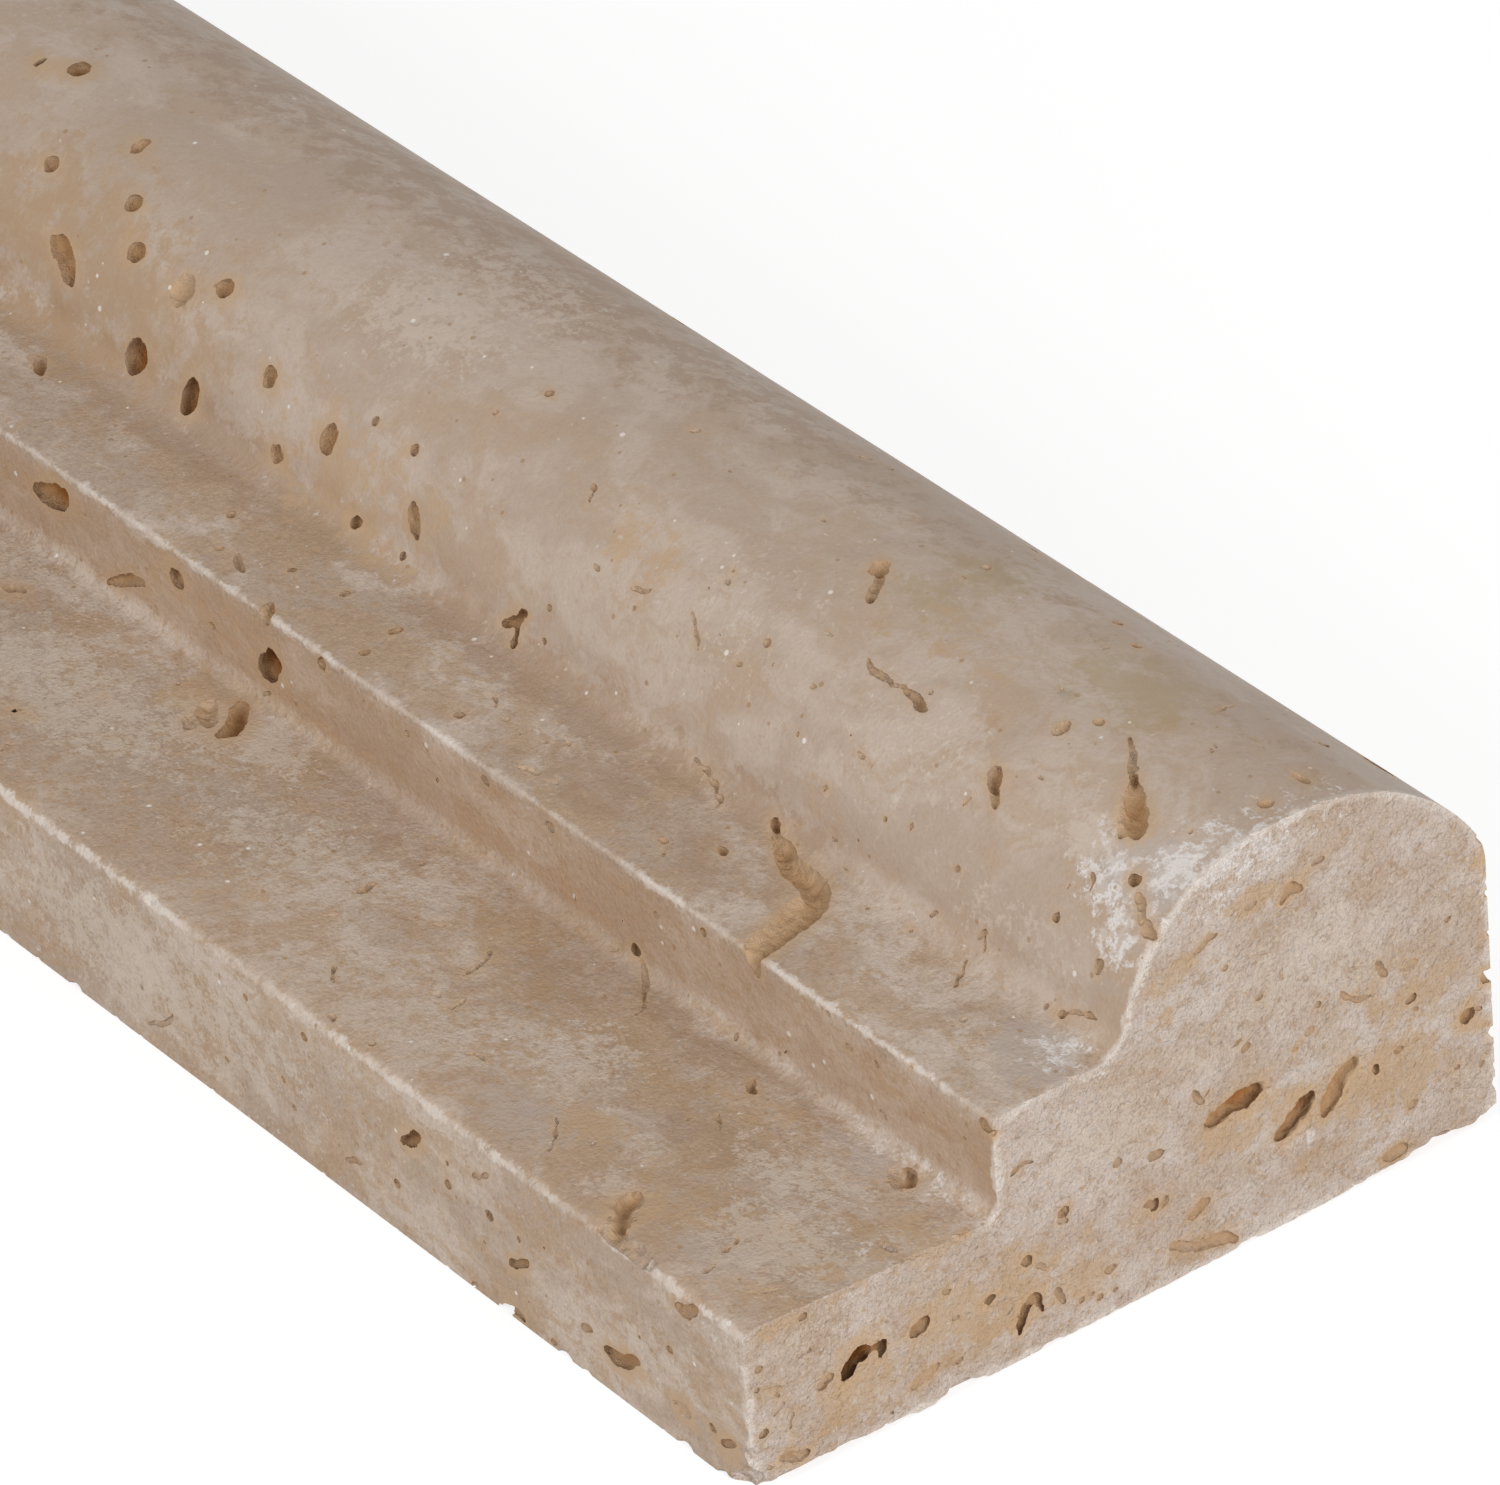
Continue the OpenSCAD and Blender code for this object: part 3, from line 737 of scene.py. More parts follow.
def outline_points():
    """The section's outline, closed, with its long legs cut into short ones."""
    loop = [*map(tuple, WALK)]
    points = []
    for p, q in zip(loop, loop[1:] + loop[:1]):
        hidden = max(p[0], q[0]) == WIDTH
        n = max(1, math.ceil(math.dist(p, q) / (HIDDEN_LEG if hidden else SHOWN_LEG)))
        points += [(p[0] + (q[0] - p[0]) * i / n, p[1] + (q[1] - p[1]) * i / n) for i in range(n)]
    return points


def outline_object():
    """The outline as a loop of edges, with the wear of each point as an attribute."""
    points = outline_points()
    arrises = [on_face(0, s)[0] for s in (LIP_ARRIS_S, STEP_ARRIS_S)]
    mesh = bpy.data.meshes.new("outline")
    edges = [(i, (i + 1) % len(points)) for i in range(len(points))]
    mesh.from_pydata([((y - WIDTH / 2) * MM, -z * MM, 0) for y, z in points], edges, [])
    wear = mesh.attributes.new("wear", "FLOAT", "POINT")
    for i, (y, z) in enumerate(points):
        near = min(math.dist((y - WIDTH / 2, z), (a.y, a.z)) for a in arrises)
        wear.data[i].value = max(0.0, 1 - near / WEAR_REACH)
    piece = bpy.data.objects.new("moulding_stone", mesh)
    bpy.context.collection.objects.link(piece)
    return piece


stone = outline_object()
print("points in the outline:", len(stone.data.vertices))

# %% Tree that sweeps the outline
def sweep_tree():
    """Geometry Nodes tree: a closed outline to a bar of stone."""
    tree, given, out = group_tree("sweep_the_section", "GeometryNodeTree", [
        ("Outline", "Geometry", None), ("Length", "Float", 0.3), ("Slices", "Int", 100),
        ("Crowding", "Float", 1.5), ("Unevenness", "Float", 0.0), ("Uneven Scale", "Float", 60.0),
        ("Arris Wear", "Float", 0.0), ("Wear Scale", "Float", 420.0), ("Seed", "Float", 0.0),
        ("Material", "Material", None),
    ], [("Bar", "Geometry")])
    profile = put(tree, "GeometryNodeMeshToCurve", {"Mesh": given["Outline"]}).outputs[0]
    line = put(tree, "GeometryNodeCurvePrimitiveLine", {"Start": (1, 0, 0), "End": (-1, 0, 0)}).outputs[0]
    path = put(tree, "GeometryNodeResampleCurve", {"Curve": line, "Count": given["Slices"]}).outputs[0]
    share = put(tree, "GeometryNodeSplineParameter").outputs["Factor"]
    crowded = maths(tree, "SUBTRACT", 0.5, maths(tree, "POWER", share, given["Crowding"]))
    along = times(tree, crowded, given["Length"])
    place = put(tree, "ShaderNodeCombineXYZ", {"X": along}).outputs[0]
    path = put(tree, "GeometryNodeSetPosition", {"Geometry": path, "Position": place}).outputs[0]
    bar = put(tree, "GeometryNodeCurveToMesh", {
        "Curve": path, "Profile Curve": profile, "Fill Caps": True}).outputs[0]
    bar = put(tree, "GeometryNodeMergeByDistance", {"Geometry": bar, "Distance": 1e-6}).outputs[0]

    here = put(tree, "GeometryNodeInputPosition").outputs[0]
    shift = put(tree, "ShaderNodeCombineXYZ", {"Z": given["Seed"]}).outputs[0]
    spot = vectors(tree, "ADD", here, shift)
    slow = noise(tree, spot, given["Uneven Scale"], 2.0, 0.5)
    quick = noise(tree, spot, given["Wear Scale"], 3.0, 0.5)
    wear = put(tree, "GeometryNodeInputNamedAttribute", {"Name": "wear"}, data_type="FLOAT").outputs[0]
    chips = times(tree, times(tree, quick, wear), given["Arris Wear"])
    sink = maths(tree, "ADD", times(tree, slow, given["Unevenness"]), chips)
    height = put(tree, "ShaderNodeSeparateXYZ", {"Vector": here}).outputs["Z"]
    above = maths(tree, "GREATER_THAN", height, 0.2 * MM)
    sink = times(tree, times(tree, sink, above), -1.0)
    facing = vectors(tree, "MULTIPLY", put(tree, "GeometryNodeInputNormal").outputs[0], (0, 1, 1))
    offset = scaled(tree, vectors(tree, "NORMALIZE", facing), sink)
    bar = put(tree, "GeometryNodeSetPosition", {"Geometry": bar, "Offset": offset}).outputs[0]
    bar = put(tree, "GeometryNodeRealizeInstances", {"Geometry": bar}).outputs[0]
    bar = put(tree, "GeometryNodeSetMaterial", {"Geometry": bar, "Material": given["Material"]}).outputs[0]
    tree.links.new(bar, out.inputs["Bar"])
    return tree


def grow(piece, tree, **values):
    """Runs a tree on an object and keeps the result as its plain mesh."""
    modifier = piece.modifiers.new(tree.name, "NODES")
    modifier.node_group = tree
    for item in tree.interface.items_tree:
        key = item.name.replace(" ", "_").lower()
        if item.in_out == "INPUT" and key in values:
            modifier[item.identifier] = values[key]
    ready = piece.evaluated_get(bpy.context.evaluated_depsgraph_get())
    mesh = bpy.data.meshes.new_from_object(ready)
    piece.modifiers.remove(modifier)
    old, piece.data = piece.data, mesh
    bpy.data.meshes.remove(old)
    return mesh


def empty_material(name):
    """A material with nothing in its tree, to be filled below."""
    made = bpy.data.materials.new(name)
    made.use_nodes = True
    made.node_tree.nodes.clear()
    return made


honed, eaten, sawn = (
    empty_material(name + "_travertine") for name in ("honed", "void_wall", "sawn"))
mesh = grow(
    stone, sweep_tree(), length=LENGTH * MM, slices=125, crowding=1.8, unevenness=0.07 * MM,
    uneven_scale=60.0, arris_wear=0.22 * MM, wear_scale=420.0, seed=3.0, material=honed,
)
# The bar gets the other finishes before the cuts, which then find them in its list.
mesh.materials.append(eaten)
mesh.materials.append(sawn)
print("bar before the voids:", len(mesh.vertices), "points,", len(mesh.polygons), "faces")

# %% [markdown]
# ## The voids, cut from the bar
# Cutting thousands of balls one by one would take minutes and leave sharp rings. The
# second tree takes the balls as points instead. Points to Volume melts balls that
# touch into one cloud, Volume to Mesh puts a closed skin round it, and a noise pushes
# the skin in and out, so no ball shows. Then the skin's inside is taken from the bar.
# The fine voids use a finer grid than the coarse ones, which saves triangles. The skin
# brings its own material, so the walls of the voids keep apart from the honed faces.

# %% Tree that cuts the voids
def dissolve_tree():
    """Geometry Nodes tree: cuts a cloud of balls from the stone."""
    tree, given, out = group_tree("dissolve_the_stone", "GeometryNodeTree", [
        ("Stone", "Geometry", None), ("Balls", "Object", None), ("Grid", "Float", 0.0002),
        ("Raggedness", "Float", 0.0001), ("Ragged Size", "Float", 0.0006), ("Seed", "Float", 0.0),
        ("Wall", "Material", None),
    ], [("Stone", "Geometry")])
    balls = put(tree, "GeometryNodeObjectInfo", {"Object": given["Balls"]}).outputs["Geometry"]
    size = put(
        tree, "GeometryNodeInputNamedAttribute", {"Name": "ball_radius"}, data_type="FLOAT").outputs[0]
    points = put(tree, "GeometryNodeMeshToPoints", {"Mesh": balls, "Radius": size}).outputs[0]
    cloud = put(tree, "GeometryNodePointsToVolume", {
        "Points": points, "Voxel Size": given["Grid"], "Radius": size,
    }, resolution_mode="VOXEL_SIZE").outputs[0]
    skin = put(tree, "GeometryNodeVolumeToMesh", {
        "Volume": cloud, "Voxel Size": given["Grid"], "Threshold": 0.1,
    }, resolution_mode="VOXEL_SIZE").outputs[0]
    here = put(tree, "GeometryNodeInputPosition").outputs[0]
    shift = put(tree, "ShaderNodeCombineXYZ", {"X": given["Seed"]}).outputs[0]
    scale = maths(tree, "DIVIDE", 1.0, given["Ragged Size"])
    ragged = maths(tree, "SUBTRACT", noise(tree, vectors(tree, "ADD", here, shift), scale, 2.0, 0.5), 0.5)
    push = times(tree, ragged, times(tree, given["Raggedness"], 2.0))
    normal = put(tree, "GeometryNodeInputNormal").outputs[0]
    skin = put(tree, "GeometryNodeSetPosition", {
        "Geometry": skin, "Offset": scaled(tree, normal, push)}).outputs[0]
    skin = put(tree, "GeometryNodeSetMaterial", {"Geometry": skin, "Material": given["Wall"]}).outputs[0]
    cut = put(tree, "GeometryNodeMeshBoolean", operation="DIFFERENCE", solver="MANIFOLD")
    tree.links.new(given["Stone"], cut.inputs["Mesh 1"])
    tree.links.new(skin, cut.inputs["Mesh 2"])
    whole = put(tree, "GeometryNodeRealizeInstances", {"Geometry": cut.outputs["Mesh"]}).outputs[0]
    tree.links.new(whole, out.inputs["Stone"])
    return tree


dissolve = dissolve_tree()
print("nodes in the cutting tree:", len(dissolve.nodes))

# %% Cut the coarse voids, then the fine ones
# Balls smaller than this, in mm, are cut with the finer grid.
FINE_RADIUS = 0.42


def balls_object(name, chosen):
    """Balls as loose points, each with its radius as an attribute."""
    mesh = bpy.data.meshes.new(name)
    mesh.from_pydata([ball_place[i] for i in chosen], [], [])
    mesh.attributes.new("ball_radius", "FLOAT", "POINT")
    mesh.attributes["ball_radius"].data.foreach_set("value", [ball_radius[i] for i in chosen])
    made = bpy.data.objects.new(name, mesh)
    bpy.context.collection.objects.link(made)
    return made


kinds = np.array(ball_kind)
radii = np.array(ball_radius) / MM
# Each row: name, the balls it cuts, the finish of the wall it leaves, then the grid, the
# raggedness and the size of a rag, in mm. A chip is as sandy as the sawn ends, and the
# voids that are out of sight get the honed finish.
passes = (
    ("hidden_voids", kinds == HIDDEN, honed, 0.75, 0.25, 1.6),
    ("coarse_voids", (kinds == VOID) & (radii >= FINE_RADIUS), eaten, 0.26, 0.28, 0.8),
    ("fine_voids", (kinds == VOID) & (radii < FINE_RADIUS), eaten, 0.165, 0.09, 0.4),
    ("chips", kinds == CHIP, sawn, 0.3, 0.15, 0.6),
)
for name, chosen, wall, grid, ragged, size in passes:
    balls = balls_object(name, np.flatnonzero(chosen))
    mesh = grow(
        stone, dissolve, balls=balls, grid=grid * MM, raggedness=ragged * MM, ragged_size=size * MM,
        seed=1.7, wall=wall,
    )
    bpy.data.objects.remove(balls)
    print(name, int(chosen.sum()), "balls ->", len(mesh.vertices), "points,", len(mesh.polygons), "faces")
print("triangles:", sum(len(face.vertices) - 2 for face in mesh.polygons))

# %% A grid of points on the ends
# A face is sawn if it lies within ON_PLANE mm of an end or the back and is as good as
# square to it. The grid's lines stand OFF_ROUND mm aside, so that they miss the corners.
ON_PLANE, STRAIGHT, OFF_ROUND, END_GRID = 0.01, 0.99, 0.013, 1.25


def grid_ends(mesh, step):
    """Cuts the flat ends into cells, so that the fields below have points to sit on."""
    bm = bmesh.new()
    bm.from_mesh(mesh)
    near_end = (RIGHT - ON_PLANE) * MM
    caps = [f for f in bm.faces if abs(f.normal.x) > STRAIGHT and abs(f.calc_center_median().x) > near_end]
    geom = list({part for f in caps for part in (f, *f.edges, *f.verts)})
    for axis, low, high in ((1, -WIDTH / 2, WIDTH / 2), (2, 0, CREST_H)):
        for k in range(1, int((high - low) / step)):
            spot, way = Vector((0, 0, 0)), Vector((0, 0, 0))
            spot[axis], way[axis] = (low + k * step + OFF_ROUND) * MM, 1
            geom = bmesh.ops.bisect_plane(bm, geom=geom, dist=1e-8, plane_co=spot, plane_no=way)["geom"]
    bm.to_mesh(mesh)
    bm.free()


grid_ends(mesh, END_GRID)
print("triangles with the grid:", sum(len(face.vertices) - 2 for face in mesh.polygons))

# %% [markdown]
# ## Fields on the points
# The stone looks different from place to place: browner down in its voids and around
# their mouths, chalky along its edges, and patched with rust or lime. Some of it is
# painted light: shade and a warm glow deep in the voids, a highlight in the chalk along
# the edges, and bands of shade in the cove and on the crest's back slope. A painted
# picture could hold that, but it would blur close up. Here each of these is a number on
# every point of the mesh, worked out from distances, and the materials read the numbers
# as attributes and fray them with noise.

# %% Depth of each point below the plain bar
places = np.empty(len(mesh.vertices) * 3, dtype=np.float32)
mesh.vertices.foreach_get("co", places)
places = places.reshape(-1, 3) / MM


def keep_field(name, values):
    """Keeps one number for each point of the mesh, as an attribute."""
    mesh.attributes.new(name, "FLOAT", "POINT").data.foreach_set("value", values.astype(np.float32))


def from_outline(points):
    """Distance of points from the section's outline, in mm, seen along the bar."""
    flat = points[:, 1:] + np.array([WIDTH / 2, 0])
    loop = np.vstack([WALK, WALK[:1]])
    least = np.full(len(points), 99.0)
    for p, q in zip(loop[:-1], loop[1:]):
        leg = q - p
        t = np.clip(((flat - p) @ leg) / (leg @ leg), 0, 1)
        least = np.minimum(least, np.linalg.norm(flat - p - t[:, None] * leg, axis=1))
    return least


inset = from_outline(places)
depths = np.minimum(inset, RIGHT - np.abs(places[:, 0]))
keep_field("depth", depths)
print("deepest point, mm:", round(float(depths.max()), 2))

# %% Brown halo round the voids
# The points are taken in slabs along the bar, each with the balls within HALO_REACH mm.
HALO_SLABS, HALO_REACH = 400, 4


def halo_at(points):
    """How brown the stone is at points, from 0 to 1, by the voids near them."""
    voids = np.flatnonzero(np.array(ball_kind) != CHIP)
    centres = np.array([ball_place[i] for i in voids], dtype=np.float32) / MM
    radius = np.array([ball_radius[i] for i in voids], dtype=np.float32) / MM
    amount = np.array([ball_stain[i] for i in voids], dtype=np.float32)
    order = np.argsort(centres[:, 0])
    centres, radius, amount = centres[order], radius[order], amount[order]
    fade = 0.45 + 1.1 * np.minimum(radius, 1)
    halo = np.zeros(len(points), dtype=np.float32)
    for part in np.array_split(np.argsort(points[:, 0]), HALO_SLABS):
        low, high = points[part[0], 0] - HALO_REACH, points[part[-1], 0] + HALO_REACH
        i, j = np.searchsorted(centres[:, 0], (low, high))
        if i < j:
            away = np.linalg.norm(points[part][:, None] - centres[None, i:j], axis=2) - radius[i:j]
            halo[part] = (amount[i:j] * np.clip(1 - away / fade[i:j], 0, 1)).max(axis=1)
    return halo


halos = halo_at(places)
keep_field("halo", halos)
print("share of points with a halo:", round(float((halos > 0.1).mean()), 2))

# %% Distance from the worn edges
# The rim is less rubbed, and its painted highlight fainter, on the lip's top, so places there count as
# further from it, in mm.
LIP_SPARED = 0.7


def from_edges(points):
    """Distance of points, in mm, from the two arrises and from the rim of the right end."""
    on_lip_top = (points[:, 1] < LIP_D - WIDTH / 2 - 1.5) & (points[:, 2] > 11)
    least = np.hypot(RIGHT - points[:, 0], inset) + np.where(on_lip_top, LIP_SPARED, 0.0)
    for s in (LIP_ARRIS_S, STEP_ARRIS_S):
        arris = on_face(0, s)[0]
        least = np.minimum(least, np.hypot(points[:, 1] - arris.y, points[:, 2] - arris.z))
    return least.clip(0, 5)


keep_field("edge_mm", from_edges(places))

# %% Patches of lime and rust, and bands of painted shade
# For each tint, rows of the place on the faces (along the bar, developed length), the
# reach along and across, and the strength. Sizes are in mm.
FACE_PATCHES = {
    "white": [
        (-6.2, 61.8, 3.2, 2.6, 0.62), (-3, 58.6, 2.2, 2.2, 0.7), (-2.2, 64.8, 2.6, 2.4, 0.7),
        (-8.6, 64.6, 1.6, 1.4, 0.55), (-3, 49.5, 3, 2.2, 0.55), (-9, 33.4, 6, 1.4, 0.4),
        (-0.4, 68, 0.9, 5, 0.6), (-3.5, 25.2, 2.6, 0.8, 0.5), (-4, 12, 3, 1, 0.4),
    ],
    "cream": [
        (-9.5, 63.5, 3, 2.2, 0.7), (-6, 45.5, 3, 1.4, 0.5), (-19.5, 16.8, 2.4, 2, 0.6),
        (-27, 62, 8, 6, 0.3), (-48, 63, 7, 6, 0.3), (-85, 29.5, 4, 3, 0.8), (-12, 55, 8, 3, 0.4),
        (-95, 24, 14, 6, 0.6), (-92, 69, 8, 5, 0.6), (-33, 25, 6, 4, 0.5), (-7, 21, 6, 5, 0.65),
        (-13, 27, 6, 3, 0.6), (-70, 24, 8, 6, 0.45), (-108, 33, 9, 3, 0.5), (-70, 7, 20, 6, 0.55),
        (-110, 7, 30, 6, 0.5), (-80, 31, 5, 3, 0.75), (-90, 76, 9, 5, 0.5),
        (-14, 66.5, 2, 1.6, 0.4),
    ],
    "grey": [
        (-4.4, 63.4, 4.2, 2.8, 0.95), (-4, 48, 4, 3.2, 0.9), (-12, 31.5, 5, 1.6, 0.6),
        (-30, 17, 6, 3, 0.6), (-8, 17, 5, 3, 0.6),
    ],
    "honey": [
        (-16.3, 16.3, 2.2, 2.6, 0.9), (-89.5, 30, 2.4, 3.5, 0.8), (-90, 55, 14, 6, 0.5),
        (-92, 38, 9, 3.5, 0.5), (-26, 20, 4, 3, 0.6), (-5, 17, 3.5, 2, 0.7), (-20, 30, 5, 3, 0.5),
        (-66, 18, 7, 4, 0.4), (-60, 63, 6, 5, 0.5), (-33, 70, 10, 5, 0.35),
        (-1.8, 22, 1.8, 1.6, 0.7), (-7, 23, 4, 1.6, 0.5), (-12.5, 19, 3, 2, 0.55),
        (-14, 3.4, 3, 1.8, 0.8), (-25.6, 5, 2.4, 1.6, 0.6), (-7.5, 3, 3, 1.6, 0.7),
        (-2.5, 3, 2, 2, 0.7), (-38, 9, 2.2, 1.8, 0.6),
    ],
    "rust": [
        (-14, 20, 7, 6, 0.5), (-4, 26.5, 4, 1.6, 0.6), (-48, 20, 9, 5, 0.35),
        (-3.5, 77, 3, 2.2, 0.5), (-125, 57, 22, 9, 0.6), (-38, 27, 7, 4, 0.45),
        (-14, 74, 2.4, 1.6, 0.4), (-9, 78, 2, 1.4, 0.4), (-24, 66, 3, 2, 0.35),
        (-2.5, 27, 2.6, 1, 0.6), (-10.5, 16, 4.5, 2, 0.5), (-17, 22, 3, 2, 0.5),
        (-27, 27, 5, 2, 0.5), (-36, 21, 6, 3, 0.45), (-50, 30, 8, 2.4, 0.45),
    ],
    # The long brown rows near a developed length of 51 lie in the hollow of the cove, and those near 80 on
    # the crest's back slope, which turns from the light: they are painted shade, and the shorter brown rows
    # are stains.
    "brown": [
        (-36, 46, 11, 4.5, 0.45), (-20, 25, 6, 4, 0.5), (-62, 50.8, 24, 2.8, 0.65),
        (-110, 51, 34, 3.4, 0.75), (-38, 52, 9, 2.6, 0.6), (-30, 32, 14, 2.2, 0.45),
        (-42, 29, 6, 3.4, 0.6), (-24, 32, 12, 2.2, 0.55), (-60, 30, 10, 3, 0.4),
        (-100, 80, 70, 8, 0.5), (-50, 79, 30, 5, 0.4), (-10, 79, 14, 4, 0.35),
        (-50, 46, 8, 4, 0.65), (-12, 6, 9, 5, 0.35),
    ],
    "olive": [
        (-37, 75, 5, 8, 0.6), (-19, 76, 7, 6, 0.6),
    ],
}
# The same on the right sawn end, by depth from the lip's front, and height.
END_PATCHES = {
    "white": [
        (35.5, 28.5, 1.8, 2.2, 0.55), (45, 31, 7, 1.3, 0.7), (46.5, 6.4, 2, 1.2, 0.5),
    ],
    "cream": [
        (30, 15, 8, 4, 0.5), (48, 20, 10, 5, 0.5), (12, 10, 5, 2, 0.4), (61, 4, 3, 2, 0.5),
        (40, 17, 5, 3, 0.5), (5, 10.5, 4, 2, 0.4),
    ],
    "honey": [
        (3, 12.4, 3, 1, 0.6), (9.5, 12.2, 3, 1, 0.6), (16, 12, 3, 1.3, 0.6), (20, 6, 10, 4, 0.6),
        (55, 8, 7, 5, 0.55), (9, 4, 5, 2.5, 0.6), (57, 13.5, 6, 1.6, 0.6), (38, 24.8, 4, 1, 0.55),
        (43, 9.5, 7, 2.6, 0.55), (28, 4, 4, 2, 0.5), (33, 6.5, 3, 1.2, 0.6), (14, 12, 3, 1, 0.5),
        (36, 24, 2.4, 1.2, 0.7), (43.5, 27, 3, 1.4, 0.6), (36, 21.5, 2, 1.2, 0.5),
    ],
    "rust": [
        (38, 2, 4, 1.2, 0.6), (54.5, 1.2, 2.4, 1.2, 0.55), (47, 4.5, 3, 1, 0.5),
        (8, 2, 7, 1.8, 0.45), (22, 4, 3, 2.5, 0.45), (51, 15.5, 3, 1, 0.45), (18, 3, 5, 2.4, 0.5),
    ],
}
# A patch on the end reaches END_REACH mm into the bar. Each patch has faded out at
# PATCH_RIM times its reach.
END_REACH, PATCH_RIM = 5, 1.45


def patch_fields(points):
    """For each tint, how deep points lie in its patches: strength at a centre, 0 outside."""
    fields = {}
    for face, patches in ((on_face, FACE_PATCHES), (on_end, END_PATCHES)):
        rows = [(tint, *row) for tint, placed in patches.items() for row in placed]
        for tint, a, b, reach_a, reach_b, strength in rows:
            reach = (END_REACH, reach_a, reach_b) if face is on_end else (reach_a, reach_b, reach_b)
            away = np.linalg.norm((points - np.array(face(a, b)[0])) / reach, axis=1)
            inside = strength * np.clip(PATCH_RIM - away, 0, 1)
            fields[tint] = np.maximum(fields.get(tint, 0), inside)
    return fields


tinted = patch_fields(places)
for tint, inside in tinted.items():
    keep_field("patch_" + tint, inside)
print("share of points in patches:", {
    tint: round(float((inside > 0).mean()), 2) for tint, inside in tinted.items()})

# %% Sawn faces, and sharp edges
SAWN_SLOT = mesh.materials.find(sawn.name)
normals, centres = np.empty(len(mesh.polygons) * 3), np.empty(len(mesh.polygons) * 3)
mesh.polygons.foreach_get("normal", normals)
mesh.polygons.foreach_get("center", centres)
normals, centres = normals.reshape(-1, 3), centres.reshape(-1, 3) / MM
slots = np.empty(len(mesh.polygons), dtype=np.int32)
mesh.polygons.foreach_get("material_index", slots)
on_an_end = (np.abs(normals[:, 0]) > STRAIGHT) & (np.abs(centres[:, 0]) > RIGHT - ON_PLANE)
on_the_back = (normals[:, 2] < -STRAIGHT) & (centres[:, 2] < ON_PLANE)
slots[(slots == 0) & (on_an_end | on_the_back)] = SAWN_SLOT
mesh.polygons.foreach_set("material_index", slots)
mesh.polygons.foreach_set("use_smooth", [True] * len(mesh.polygons))
SHARP_DEGREES = 40
mesh.set_sharp_from_angle(angle=math.radians(SHARP_DEGREES))
print("faces honed, void wall, sawn:", np.bincount(slots).tolist())

# %% [markdown]
# ## The colour of the stone
# Travertine is laid down in beds of pale, tan and ochre lime, which blur into clouds
# where a face cuts them at a slant. One group makes those clouds: a slow noise, bent
# by another, chooses between the pale and the tan, a second adds ochre, and quick
# noises add thin veins, flecks, mottling and grain. Each finish gives the group its
# colours and the size of its clouds. The noises follow the place in the bar, so a cloud
# runs on round an arris.

# %% Group: clouds of the stone
def mix_colour(tree, share, first, second):
    """A colour Mix node: share of the second colour over the first."""
    return put(tree, "ShaderNodeMix", {0: share, 6: first, 7: second}, data_type="RGBA").outputs[2]


def ramp(tree, value, low, high):
    """0 below low and 1 above high, or the other way round where low is above high."""
    return put(tree, "ShaderNodeMapRange", {
        "Value": value, "From Min": low, "From Max": high}, interpolation_type="SMOOTHSTEP").outputs[0]


def field(tree, name):
    """A number kept on the points of the mesh."""
    return put(tree, "ShaderNodeAttribute", attribute_name=name).outputs["Fac"]


